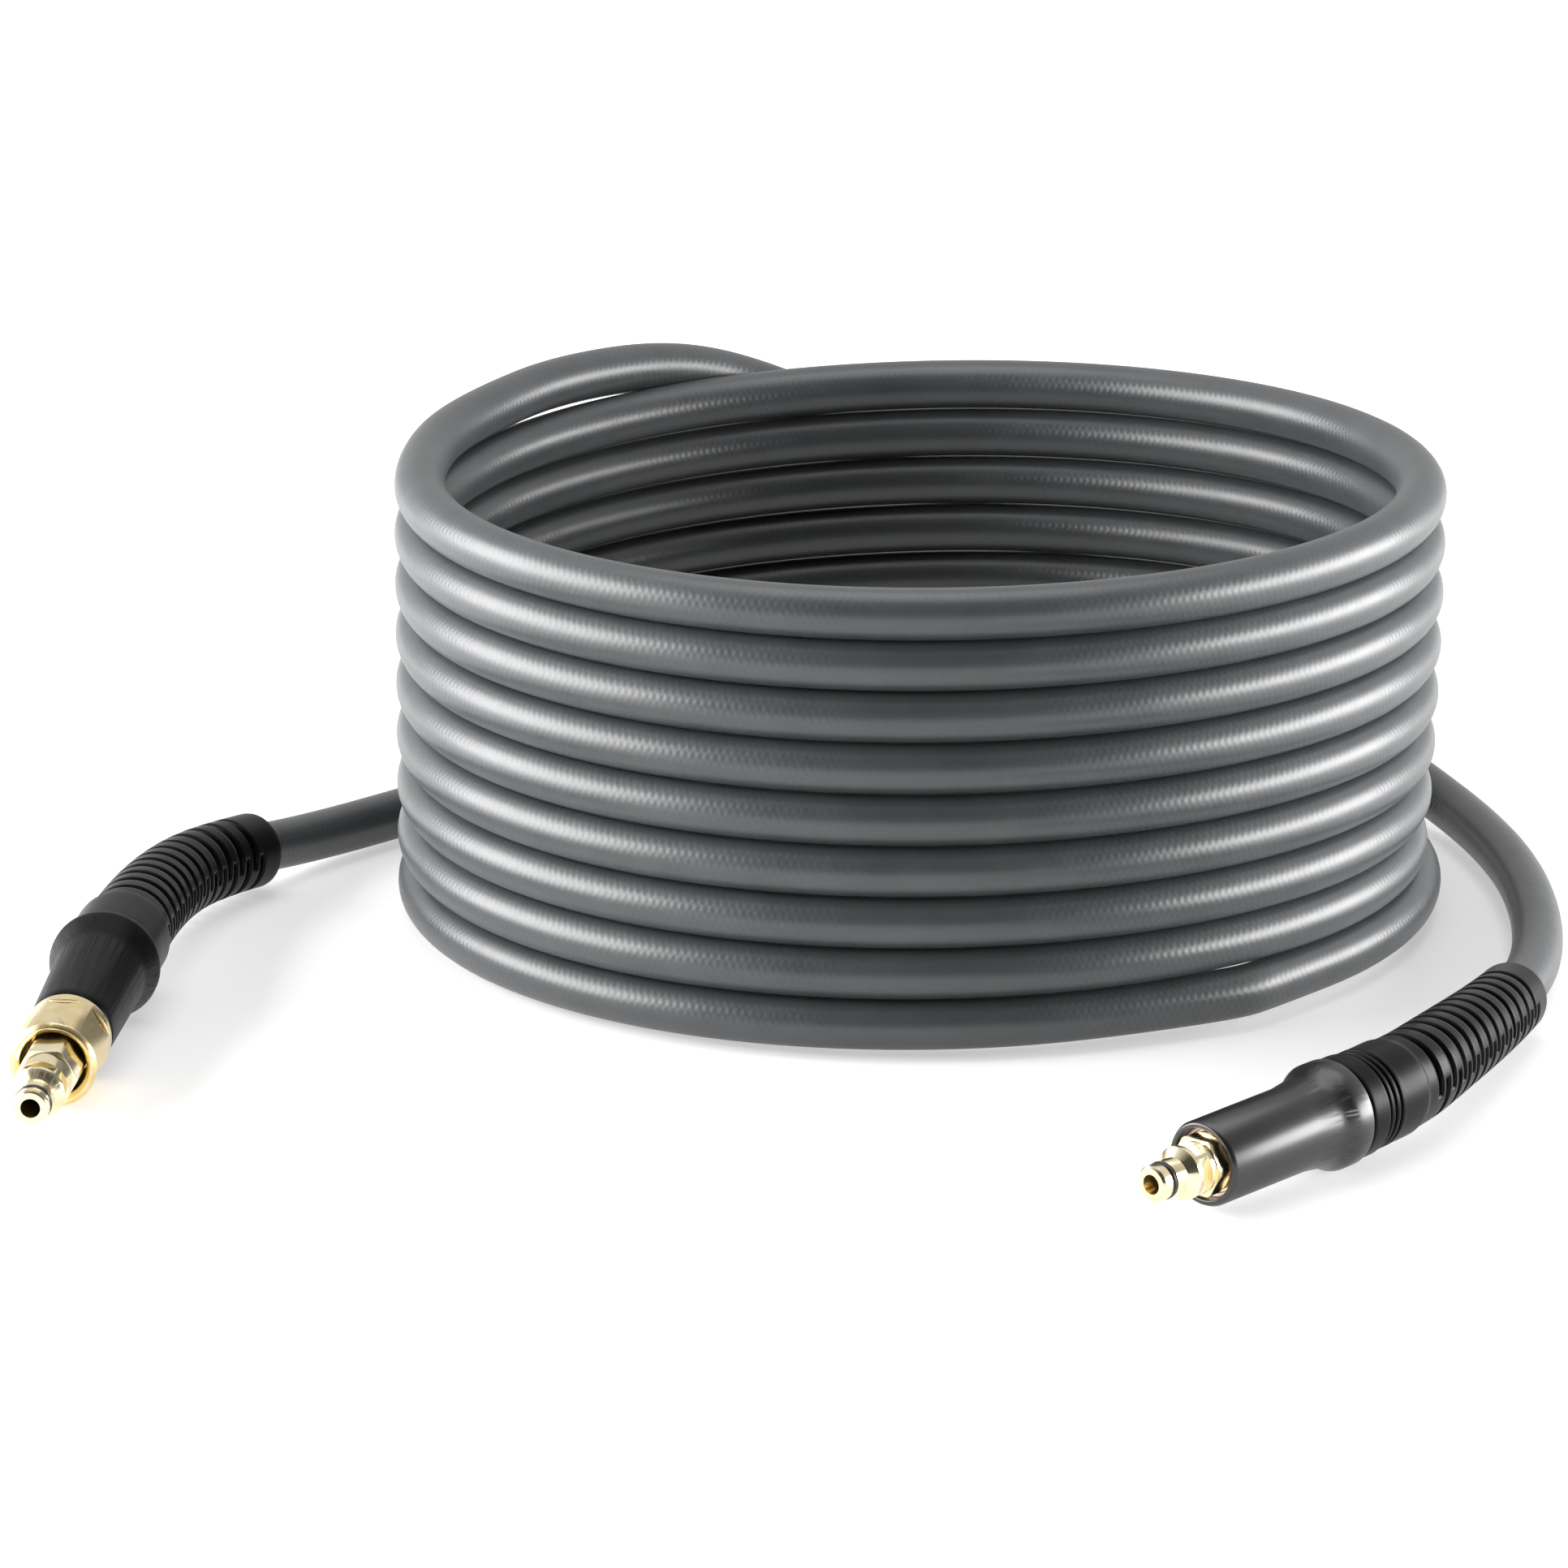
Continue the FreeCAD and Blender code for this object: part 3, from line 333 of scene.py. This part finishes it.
def tube_mesh(name, frames, lengths, radius_at, sides):
    """A closed tube; radius_at gives the radius at a ring number and a share of the way round."""
    rows, faces, uvs = [], [], []
    for ring, (place, side, over) in enumerate(frames):
        for step in range(sides):
            share = step / sides
            angle = 2 * math.pi * share
            radius = radius_at(ring, share)
            across, up = radius * math.cos(angle), radius * math.sin(angle)
            rows.append(place + side * across + over * up)
    for ring in range(len(frames) - 1):
        for step in range(sides):
            after = (step + 1) % sides
            low, high = ring * sides, (ring + 1) * sides
            faces.append((low + step, low + after, high + after, high + step))
            near, far = lengths[ring], lengths[ring + 1]
            uvs.append((
                (near, step / sides), (near, (step + 1) / sides),
                (far, (step + 1) / sides), (far, step / sides),
            ))
    last = (len(frames) - 1) * sides
    faces.append(tuple(reversed(range(sides))))
    uvs.append(tuple((lengths[0], step / sides) for step in reversed(range(sides))))
    faces.append(tuple(last + step for step in range(sides)))
    uvs.append(tuple((lengths[-1], step / sides) for step in range(sides)))
    mesh = bpy.data.meshes.new(name)
    mesh.from_pydata([tuple(row) for row in rows], [], faces)
    layer = mesh.uv_layers.new(name="along")
    for polygon, corners in zip(mesh.polygons, uvs):
        for loop, corner in zip(polygon.loop_indices, corners):
            layer.data[loop].uv = corner
    mesh.polygons.foreach_set("use_smooth", [True] * len(mesh.polygons))
    mesh.update()
    return mesh


# %% [markdown]
# ### The hose itself
# It is a tube of one thickness all along the line. Thirty-two sides with smooth shading look
# round even in a close view. It stands for the three CAD nodes that make up the hose there.

# %% The hose
HOSE_SIDES = 32

hose_frames = line_frames(hose_line)
hose_spacing = hose_length / (len(hose_line) - 1)
hose = new_piece("hose", tube_mesh(
    "hose", hose_frames, [ring * hose_spacing for ring in range(len(hose_line))],
    lambda ring, share: HOSE_RADIUS, HOSE_SIDES,
))
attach(hose, "hose")
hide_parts("hose_coil", "hose_tail_machine", "hose_tail_gun")
print("hose:", len(hose.data.polygons), "faces")


# %% [markdown]
# ## Bend guards
# Each guard is a thick rubber moulding that keeps the hose from kinking where it leaves its end.
# Slots are moulded half way round it, alternately over the top and underneath, so that it bends
# easily one way and the other while solid bridges carry the load between the slots. The guard
# follows the hose's own line, and a function of the distance and of the angle gives its surface.

# %% Slots of a guard
SLOT_WIDTH = 2.2 * MM
SLOT_EDGE = 0.45 * MM
SLOT_DEPTH = 2.6 * MM
RIB_PITCH = 8.3 * MM
SLOT_HALF_REACH = 0.28
SLOT_END = 0.02
SLOT_ROWS = ((0.0, 0.25), (0.5, 0.75))


def eased(value):
    """A value from nought to one, with a soft start and a soft end."""
    value = min(max(value, 0.0), 1.0)
    return value * value * (3 - 2 * value)


def slot_depth(distance, share, first, count):
    """How deep the surface lies under a rib's top, at a distance and a share of the way round."""
    deepest = 0.0
    for offset, middle in SLOT_ROWS:
        number = round((distance - first) / RIB_PITCH - offset)
        if not 0 <= number < count:
            continue
        centre = first + (number + offset) * RIB_PITCH
        from_centre = abs(distance - centre)
        across = eased((SLOT_WIDTH / 2 + SLOT_EDGE - from_centre) / SLOT_EDGE)
        round_way = abs((share - middle + 0.5) % 1.0 - 0.5)
        reach = eased((SLOT_HALF_REACH - round_way) / SLOT_END)
        deepest = max(deepest, across * reach)
    return deepest * SLOT_DEPTH


# %% Rings of a guard
RING_STEP = 2.0 * MM
RING_NEAREST = 0.04 * MM
GUARD_SIDES = 96


def ring_distances(outline, first, count):
    """Where rings are needed: at each corner of the outline and at both edges of each slot."""
    wanted = [distance for distance, _ in outline]
    for half in range(2 * count):
        centre = first + half * RIB_PITCH / 2
        for edge_share in (0.0, 0.5, 1.0):
            offset = SLOT_WIDTH / 2 + SLOT_EDGE * edge_share
            wanted += [centre - offset, centre + offset]
    start, end = outline[0][0], outline[-1][0]
    step = start
    while step < end:
        wanted.append(step)
        step += RING_STEP
    wanted = sorted(w for w in wanted if start <= w <= end)
    kept = [wanted[0]]
    for distance in wanted[1:]:
        if distance - kept[-1] > RING_NEAREST:
            kept.append(distance)
    return kept


def outline_radius(outline, distance):
    """The radius of an outline at a distance, read between its corners."""
    for (start, low), (end, high) in zip(outline, outline[1:]):
        if start <= distance <= end:
            share = (distance - start) / (end - start) if end > start else 1.0
            return low + (high - low) * share
    return outline[-1][1]


# %% [markdown]
# ### A guard laid along the hose
# A guard starts at the rear face of its metal end and runs back over the hose. At each distance
# the hose's line gives the place and the direction, and the top of the ring always looks up, so
# that the slots lie where the moulding has them.

# %% A guard from its outline
def guard_piece(name, line, spacing, hose_in, outline, first, count):
    """A guard along the hose's line; distances count backwards from the end's rear face."""
    distances = ring_distances(outline, first, count)
    frames, lengths = [], []
    for distance in distances:
        where = (hose_in + distance) / spacing
        index = min(max(int(where), 1), len(line) - 3)
        share = where - index
        place = line[index].lerp(line[index + 1], share)
        way_near = (line[index + 1] - line[index - 1]).normalized()
        way_far = (line[index + 2] - line[index]).normalized()
        way = way_near.lerp(way_far, share).normalized()
        over = (UP - way * UP.dot(way)).normalized()
        frames.append((place, way.cross(over).normalized(), over))
        lengths.append(distance)

    def radius_at(ring, share):
        distance = distances[ring]
        return outline_radius(outline, distance) - slot_depth(distance, share, first, count)

    return new_piece(name, tube_mesh(name, frames, lengths, radius_at, GUARD_SIDES))


# %% Soft corners for an outline
CORNER_STEPS = 4
CORNER_SHARE = 0.45


def rounded(corners, radius):
    """An outline whose corners are cut by short arcs of about the radius."""
    result = [corners[0]]
    for before, corner, after in zip(corners, corners[1:], corners[2:]):
        here = Vector(corner)
        back, ahead = Vector(before) - here, Vector(after) - here
        reach = min(radius, back.length * CORNER_SHARE, ahead.length * CORNER_SHARE)
        start, end = here + back.normalized() * reach, here + ahead.normalized() * reach
        for step in range(CORNER_STEPS + 1):
            t = step / CORNER_STEPS
            spot = start * (1 - t) ** 2 + here * 2 * t * (1 - t) + end * t ** 2
            result.append((spot.x, spot.y))
    return result + [corners[-1]]


# %% [markdown]
# ### The guard at the left end
# A plain band stands behind the sleeve, and then come the slots, up to a plain rounded end. Each
# pair of the outline is a distance from the sleeve's rear face and a radius there.

# %% Machine end's guard
MACHINE_SLOTS = 13
MACHINE_SLOT_FIRST = 28.0 * MM
MACHINE_GUARD_END = 137.4 * MM
machine_outline = rounded([
    (0.0, 11.0 * MM),
    (0.25 * MM, 15.2 * MM),
    (26.5 * MM, 15.2 * MM),
    (28.5 * MM, 13.8 * MM),
    (MACHINE_GUARD_END, 12.2 * MM),
    (MACHINE_GUARD_END + 6.0 * MM, 12.2 * MM),
    (MACHINE_GUARD_END + 6.05 * MM, 8.2 * MM),
], 1.6 * MM)
machine_guard = guard_piece(
    "machine_guard", hose_line, hose_spacing, MACHINE_HOSE_IN,
    machine_outline, MACHINE_SLOT_FIRST, MACHINE_SLOTS,
)
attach(machine_guard, "hose")
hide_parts("machine_bend_guard")


# %% [markdown]
# ### The guard at the right end
# This one starts with a smooth collar behind the barrel, three fine rings and a plain band. A
# loop makes the rings, because they are all alike.

# %% Gun end's guard
GUN_SLOTS = 12
GUN_SLOT_FIRST = 34.9 * MM
GUN_GUARD_END = 136.0 * MM
FINE_RINGS = 3
FINE_FIRST = 8.3
FINE_PITCH = 2.6
fine_rings = []
for number in range(FINE_RINGS):
    begin = (FINE_FIRST + number * FINE_PITCH) * MM
    fine_rings += [
        (begin, 14.3 * MM), (begin + 0.7 * MM, 14.3 * MM),
        (begin + 0.9 * MM, 15.3 * MM), (begin + 2.4 * MM, 15.3 * MM),
    ]
gun_outline = rounded([
    (0.8 * MM, 11.2 * MM),
    (0.85 * MM, 15.8 * MM),
    (8.0 * MM, 15.8 * MM),
] + fine_rings + [
    (16.1 * MM, 15.2 * MM),
    (27.1 * MM, 15.2 * MM),
    (28.6 * MM, 14.6 * MM),
    (GUN_GUARD_END, 11.5 * MM),
    (GUN_GUARD_END + 6.0 * MM, 11.4 * MM),
    (GUN_GUARD_END + 6.05 * MM, 8.2 * MM),
], 1.0 * MM)
gun_guard = guard_piece(
    "gun_guard", list(reversed(hose_line)), hose_spacing, GUN_HOSE_IN,
    gun_outline, GUN_SLOT_FIRST, GUN_SLOTS,
)
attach(gun_guard, "hose")
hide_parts("gun_bend_guard")
print("guards:", len(machine_guard.data.polygons), "and", len(gun_guard.data.polygons), "faces")


# %% [markdown]
# ## Turned metal and moulded plastic
# The plugs, the nut, the sleeve and the barrel have the right shape in the frame already, but a
# real turned edge is never knife sharp. A copy of each CAD mesh is cleaned of the triangles that
# split its flat faces, and its edges are then bevelled by a few tenths of a millimetre, because
# a highlight along a broken edge is what makes metal look like metal.

# %% Copies with broken edges
MERGE_DISTANCE = 0.002 * MM
FLAT_WITHIN = math.radians(0.6)
SHARP_FROM = math.radians(28)
BEVEL_SEGMENTS = 3


def broken_edges(name, node, body, width):
    """A copy of a CAD node whose edges are bevelled, which stands in for it."""
    mesh = frame["nodes"][node].data.copy()
    mesh.name = name
    work = bmesh.new()
    work.from_mesh(mesh)
    bmesh.ops.remove_doubles(work, verts=work.verts, dist=MERGE_DISTANCE)
    bmesh.ops.dissolve_limit(
        work, angle_limit=FLAT_WITHIN, verts=work.verts, edges=work.edges,
    )
    work.to_mesh(mesh)
    work.free()
    mesh.polygons.foreach_set("use_smooth", [True] * len(mesh.polygons))
    piece = new_piece(name, mesh)
    bevel = piece.modifiers.new("broken edges", "BEVEL")
    bevel.width = width
    bevel.segments = BEVEL_SEGMENTS
    bevel.limit_method = "ANGLE"
    bevel.angle_limit = SHARP_FROM
    bevel.miter_outer = "MITER_ARC"
    bevel.use_clamp_overlap = True
    bevel.harden_normals = True
    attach(piece, body)
    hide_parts(node)
    return piece


# %% [markdown]
# ### Which pieces get them
# Each row gives the copy's name, the CAD node that it stands for, the body that it rides on, the
# slot of its finish, and the bevel's width in millimetres. Moulded plastic has the widest edges.

# %% The turned and moulded pieces
TURNED = [
    ("nut_shell", "union_nut", "union_nut", "brass_nut", 0.35),
    ("machine_nipple", "machine_plug", "hose", "brass", 0.22),
    ("gun_nipple", "gun_plug", "swivel", "brass", 0.22),
    ("machine_grip", "machine_sleeve", "hose", "grip", 0.8),
    ("barrel_shell", "swivel_barrel", "swivel", "barrel", 0.6),
    ("mouth_ring", "barrel_end_ring", "swivel", "copper", 0.2),
    ("machine_o_ring", "machine_plug_ring", "hose", "seal", 0.3),
    ("gun_o_ring", "gun_plug_ring", "swivel", "seal", 0.3),
    ("nut_washer", "union_slip_ring", "hose", "washer", 0.2),
]
turned = {
    node: broken_edges(name, node, body, width * MM)
    for name, node, body, slot, width in TURNED
}
print("bevelled copies:", len(turned))


# %% [markdown]


# %% [markdown]
# ## Materials
# Every finish is made of nodes, so it needs no picture files. A helper starts each one with a
# Principled shader. Further ones add nodes and sums of nodes, which keeps each finish below down
# to a few lines.

# %% Helpers for nodes
def new_finish(name, colour, roughness, metallic=0.0, specular=0.5):
    """A material, its node tree and its Principled shader."""
    material = bpy.data.materials.new(name)
    material.use_nodes = True
    shader = material.node_tree.nodes["Principled BSDF"]
    shader.inputs["Base Color"].default_value = (*colour, 1.0)
    shader.inputs["Roughness"].default_value = roughness
    shader.inputs["Metallic"].default_value = metallic
    shader.inputs["Specular IOR Level"].default_value = specular
    return material, material.node_tree, shader


def add_node(tree, kind, **settings):
    """A new node in a tree, with some of its settings."""
    node = tree.nodes.new(kind)
    for key, value in settings.items():
        setattr(node, key, value)
    return node


def calculate(tree, operation, first, second=None):
    """A math node; its inputs are sockets or plain numbers."""
    node = add_node(tree, "ShaderNodeMath", operation=operation)
    for socket, value in zip(node.inputs, (first, second)):
        if value is None:
            continue
        if isinstance(value, (int, float)):
            socket.default_value = value
        else:
            tree.links.new(value, socket)
    return node.outputs[0]


# %% [markdown]
# ### What makes a surface look real
# No real surface is the same all over. So each finish gets grain or braid as bump, two close
# tones that wander, and small changes of roughness, all from noise in the object's own metres.

# %% Noise, relief, tones and shine
NOISE_ROUGHNESS = 0.55
TONE_START = 0.3
TONE_END = 0.7


def noise(tree, scale, detail=4.0):
    """Noise over the object's own coordinates, in lumps of about one over scale metres."""
    place = add_node(tree, "ShaderNodeTexCoord")
    texture = add_node(tree, "ShaderNodeTexNoise")
    texture.inputs["Scale"].default_value = scale
    texture.inputs["Detail"].default_value = detail
    texture.inputs["Roughness"].default_value = NOISE_ROUGHNESS
    tree.links.new(place.outputs["Object"], texture.inputs["Vector"])
    return texture.outputs["Fac"]


def spread(tree, value, low, high):
    """A value from nought to one, spread between two numbers."""
    node = add_node(tree, "ShaderNodeMapRange")
    node.inputs["To Min"].default_value = low
    node.inputs["To Max"].default_value = high
    tree.links.new(value, node.inputs["Value"])
    return node.outputs["Result"]


def bump(tree, shader, height, distance):
    """Small relief; distance is its full height in metres."""
    node = add_node(tree, "ShaderNodeBump")
    node.inputs["Strength"].default_value = 1.0
    node.inputs["Distance"].default_value = distance
    tree.links.new(height, node.inputs["Height"])
    tree.links.new(node.outputs["Normal"], shader.inputs["Normal"])


def two_tones(tree, shader, value, dark, light):
    """Base colour between two tones, by a value from nought to one."""
    ramp = add_node(tree, "ShaderNodeValToRGB")
    ramp.color_ramp.elements[0].color = (*dark, 1.0)
    ramp.color_ramp.elements[1].color = (*light, 1.0)
    ramp.color_ramp.elements[0].position = TONE_START
    ramp.color_ramp.elements[1].position = TONE_END
    tree.links.new(value, ramp.inputs["Fac"])
    tree.links.new(ramp.outputs["Color"], shader.inputs["Base Color"])


def uneven_shine(tree, shader, scale, low, high):
    """Roughness that wanders between two values."""
    tree.links.new(spread(tree, noise(tree, scale), low, high), shader.inputs["Roughness"])


# %% [markdown]
# ### The hose's cover
# Under the satin grey cover lies a steel braid, and it prints through as short marks across the
# hose. They lie in rows round it, each row half a mark ahead of the next, so the height is the
# product of two waves over the UV map: one runs along the hose, and the other round it. The marks
# are only hundredths of a millimetre high, and show where a highlight fades out.

# %% Grey cover over a braid
BRAID_PITCH = 2.4 * MM
BRAID_ROWS = 20
BRAID_HEIGHT = 0.022 * MM
GRAIN_SHARE = 0.35
HOSE_GREY = (0.059, 0.062, 0.066)
HOSE_DARK = (0.052, 0.055, 0.058)
HOSE_LIGHT = (0.066, 0.070, 0.073)

hose_finish, tree, shader = new_finish("hose_cover", HOSE_GREY, 0.38, specular=0.8)
along = add_node(tree, "ShaderNodeUVMap", uv_map="along")
parts = add_node(tree, "ShaderNodeSeparateXYZ")
tree.links.new(along.outputs["UV"], parts.inputs["Vector"])
marks = calculate(tree, "SINE", calculate(
    tree, "MULTIPLY", parts.outputs["X"], 2 * math.pi / BRAID_PITCH,
))
rows = calculate(tree, "SINE", calculate(
    tree, "MULTIPLY", parts.outputs["Y"], math.pi * BRAID_ROWS,
))
crossing = calculate(tree, "MULTIPLY", marks, rows)
grain = calculate(tree, "MULTIPLY", noise(tree, 1400.0, 3.0), GRAIN_SHARE)
bump(tree, shader, calculate(tree, "ADD", crossing, grain), BRAID_HEIGHT)
two_tones(tree, shader, noise(tree, 55.0, 5.0), HOSE_DARK, HOSE_LIGHT)
uneven_shine(tree, shader, 220.0, 0.34, 0.44)
hose.data.materials.append(hose_finish)
print("hose cover:", len(tree.nodes), "nodes")


# %% [markdown]
# ### Rubber and black plastic
# The guards are matt moulded rubber, the sleeve is a fine-grained plastic, and the swivel barrel
# is polished, so that it shows the lamp as a clear band along its side. Black pieces are told
# apart by their shine alone, so each gets its own roughness and its own reflection strength.

# %% Black finishes
GUARD_BLACK = (0.004, 0.004, 0.004)
GUARD_DARK = (0.0025, 0.0025, 0.0025)
GUARD_LIGHT = (0.005, 0.005, 0.005)
GRIP_BLACK = (0.004, 0.004, 0.004)
BARREL_BLACK = (0.006, 0.006, 0.006)
SEAL_BLACK = (0.010, 0.010, 0.011)

guard_finish, tree, shader = new_finish("guard_rubber", GUARD_BLACK, 0.36, specular=0.12)
bump(tree, shader, noise(tree, 900.0, 4.0), 0.03 * MM)
two_tones(tree, shader, noise(tree, 90.0), GUARD_DARK, GUARD_LIGHT)
uneven_shine(tree, shader, 160.0, 0.30, 0.42)
machine_guard.data.materials.append(guard_finish)
gun_guard.data.materials.append(guard_finish)

grip_finish, tree, shader = new_finish("grip_plastic", GRIP_BLACK, 0.34, specular=0.10)
bump(tree, shader, noise(tree, 2600.0, 2.0), 0.02 * MM)
uneven_shine(tree, shader, 120.0, 0.32, 0.44)

barrel_finish, tree, shader = new_finish("barrel_plastic", BARREL_BLACK, 0.26, specular=0.8)
bump(tree, shader, noise(tree, 500.0, 2.0), 0.006 * MM)
uneven_shine(tree, shader, 60.0, 0.26, 0.34)

seal_finish, tree, shader = new_finish("seal_rubber", SEAL_BLACK, 0.35)
bump(tree, shader, noise(tree, 1500.0, 3.0), 0.01 * MM)
uneven_shine(tree, shader, 300.0, 0.28, 0.42)
print("black finishes:", guard_finish.name, grip_finish.name, barrel_finish.name, seal_finish.name)


# %% [markdown]
# ### Brass and steel
# The brass is turned and polished, which leaves it bright with a very fine grain. A metal's
# colour is the colour of its reflections, so brass is written pale, and the union nut a little
# deeper. Washer, ferrules, stems and clip are plated steel, and the swivel's bush is pale plastic.

# %% Metal finishes
METAL_RELIEF = 0.012 * MM


def metal(name, dark, light, roughness_low, roughness_high, grain_scale):
    """A metal between two tones, with a fine grain and an uneven shine."""
    material, tree, shader = new_finish(name, light, roughness_low, metallic=1.0)
    bump(tree, shader, noise(tree, grain_scale, 5.0), METAL_RELIEF)
    two_tones(tree, shader, noise(tree, 140.0), dark, light)
    uneven_shine(tree, shader, 420.0, roughness_low, roughness_high)
    return material


brass_finish = metal("bright_brass", (0.86, 0.74, 0.46), (0.94, 0.84, 0.60), 0.14, 0.26, 1500.0)
nut_finish = metal("nut_brass", (0.80, 0.62, 0.30), (0.92, 0.76, 0.45), 0.18, 0.30, 1500.0)
copper_finish = metal("ring_copper", (0.72, 0.50, 0.42), (0.86, 0.66, 0.58), 0.24, 0.36, 900.0)
steel_finish = metal("plated_steel", (0.52, 0.53, 0.54), (0.66, 0.67, 0.68), 0.26, 0.38, 1200.0)

bearing_finish, tree, shader = new_finish("bearing_plastic", (0.78, 0.77, 0.72), 0.4)
bump(tree, shader, noise(tree, 900.0), 0.01 * MM)
print("metals:", brass_finish.name, nut_finish.name, copper_finish.name, steel_finish.name)


# %% [markdown]
# ### Every piece gets its finish
# The record names a slot for each CAD node, and one finish belongs to each slot. The copies take
# the finish of the node that they stand for, and hidden inner pieces get theirs too.

# %% Give out the finishes
FINISHES = {
    "guard": guard_finish, "hose": hose_finish, "steel": steel_finish, "grip": grip_finish,
    "washer": steel_finish, "brass_nut": nut_finish, "brass": brass_finish, "seal": seal_finish,
    "bearing": bearing_finish, "barrel": barrel_finish, "copper": copper_finish,
}


def assign(piece, finish):
    """The finish as the piece's only material."""
    piece.data.materials.clear()
    piece.data.materials.append(finish)


slots_of_nodes = {part["node"]: part["material_slot"] for part in frame["record"]["subparts"]}
for node, piece in frame["nodes"].items():
    assign(piece, FINISHES[slots_of_nodes[node]])
for node, piece in turned.items():
    assign(piece, FINISHES[slots_of_nodes[node]])
print("finishes:", len(set(FINISHES.values())))


# %% [markdown]
# ## The studio
# The photograph has a white floor that fades into a white background. The floor here is plain
# white. Rays from the camera, and rays that a shiny piece mirrors, also see it glow, a little
# under the object and fully far away. So it stays white in the picture and in the brass, and the
# object's shadow still shows on it, while no light is added to the object.

# %% Floor
FLOOR_REACH = 3.0
FLOOR_DROP = 0.2 * MM
floor_mesh = bpy.data.meshes.new("floor")
floor_mesh.from_pydata(
    [(-FLOOR_REACH, -FLOOR_REACH, 0), (FLOOR_REACH, -FLOOR_REACH, 0),
     (FLOOR_REACH, FLOOR_REACH, 0), (-FLOOR_REACH, FLOOR_REACH, 0)],
    [], [(0, 1, 2, 3)],
)
floor = new_piece("floor", floor_mesh)
floor.location = (0, 0, -FLOOR_DROP)


# %% The floor's finish
FLOOR_WHITE = (0.82, 0.82, 0.82)
FLOOR_GLOW = 0.45
GLOW_NEAR = 0.35
GLOW_FAR = 1.1


def background_rays(tree):
    """The Light Path node, and one where a ray is mirrored or comes through something clear."""
    path = add_node(tree, "ShaderNodeLightPath")
    mirrored = calculate(
        tree, "MAXIMUM", path.outputs["Is Glossy Ray"], path.outputs["Is Transmission Ray"],
    )
    return path, mirrored


floor_finish, tree, shader = new_finish("floor_white", FLOOR_WHITE, 0.7, specular=0.1)
shader.inputs["Emission Color"].default_value = (1, 1, 1, 1)
place = add_node(tree, "ShaderNodeTexCoord")
from_middle = add_node(tree, "ShaderNodeVectorMath", operation="LENGTH")
tree.links.new(place.outputs["Object"], from_middle.inputs[0])
glow = spread(tree, from_middle.outputs["Value"], FLOOR_GLOW, 1.0)
glow.node.inputs["From Min"].default_value = GLOW_NEAR
glow.node.inputs["From Max"].default_value = GLOW_FAR
light_path, mirrored = background_rays(tree)
seen = calculate(tree, "MAXIMUM", light_path.outputs["Is Camera Ray"], mirrored)
tree.links.new(calculate(tree, "MULTIPLY", seen, glow), shader.inputs["Emission Strength"])
floor.data.materials.append(floor_finish)


# %% [markdown]
# ### The room
# The background is white to the camera, and mirrored rays see it white behind the object too.
# Towards the camera the room gets dark, which gives the brass and the black barrel dark places to
# mirror: without them they would look like pale plastic.

# %% World
ROOM_STRENGTH = 0.4
ROOM_FRONT = 0.05
DARK_UNTIL = -0.6
WHITE_FROM = 0.4

world = bpy.data.worlds.new("studio")
bpy.context.scene.world = world
world.use_nodes = True
tree = world.node_tree
tree.nodes.clear()
out = add_node(tree, "ShaderNodeOutputWorld")
room = add_node(tree, "ShaderNodeBackground")
white = add_node(tree, "ShaderNodeBackground")
white.inputs["Strength"].default_value = 1.0
place = add_node(tree, "ShaderNodeTexCoord")
parts = add_node(tree, "ShaderNodeSeparateXYZ")
tree.links.new(place.outputs["Generated"], parts.inputs["Vector"])
front_to_back = spread(tree, parts.outputs["Y"], ROOM_FRONT, 1.0)
front_to_back.node.inputs["From Min"].default_value = DARK_UNTIL
front_to_back.node.inputs["From Max"].default_value = WHITE_FROM
room_light = calculate(tree, "MULTIPLY", front_to_back, ROOM_STRENGTH)
tree.links.new(room_light, room.inputs["Strength"])
choice = add_node(tree, "ShaderNodeMixShader")
light_path, mirrored = background_rays(tree)
mirrored = calculate(tree, "MULTIPLY", mirrored, front_to_back)
seen = calculate(tree, "MAXIMUM", light_path.outputs["Is Camera Ray"], mirrored)
tree.links.new(seen, choice.inputs["Fac"])
tree.links.new(room.outputs["Background"], choice.inputs[1])
tree.links.new(white.outputs["Background"], choice.inputs[2])
tree.links.new(choice.outputs["Shader"], out.inputs["Surface"])
print("room:", len(tree.nodes), "nodes")


# %% [markdown]
# ### The lamps
# Two large soft lamps stand low at the left and at the right, and draw a long highlight down each
# side of the coil. A weak one hangs above, so that the inside is not lost in shadow. Each line
# gives where the lamp stands, what it is aimed at, its width and height in metres, and its watts.

# %% Lamps
def soft_lamp(name, place, target, width, height, power):
    """A white soft box that is aimed at a point."""
    data = bpy.data.lights.new(name, "AREA")
    data.shape = "RECTANGLE"
    data.size = width
    data.size_y = height
    data.energy = power
    lamp = bpy.data.objects.new(name, data)
    lamp.location = place
    aim = Vector(target) - Vector(place)
    lamp.rotation_euler = aim.to_track_quat("-Z", "Y").to_euler()
    bpy.context.scene.collection.objects.link(lamp)


soft_lamp("left_lamp", (-1.4, 0.0, 0.50), (0, 0, 0.2), 1.7, 0.9, 50)
soft_lamp("right_lamp", (1.4, 0.0, 0.26), (0, 0, 0.1), 1.6, 0.5, 34)
soft_lamp("top_lamp", (0.0, 0.1, 1.8), (0, 0, 0.0), 1.6, 1.3, 12)

bpy.context.scene.view_settings.view_transform = "Standard"
print("lamps:", [lamp.name for lamp in bpy.data.lights])
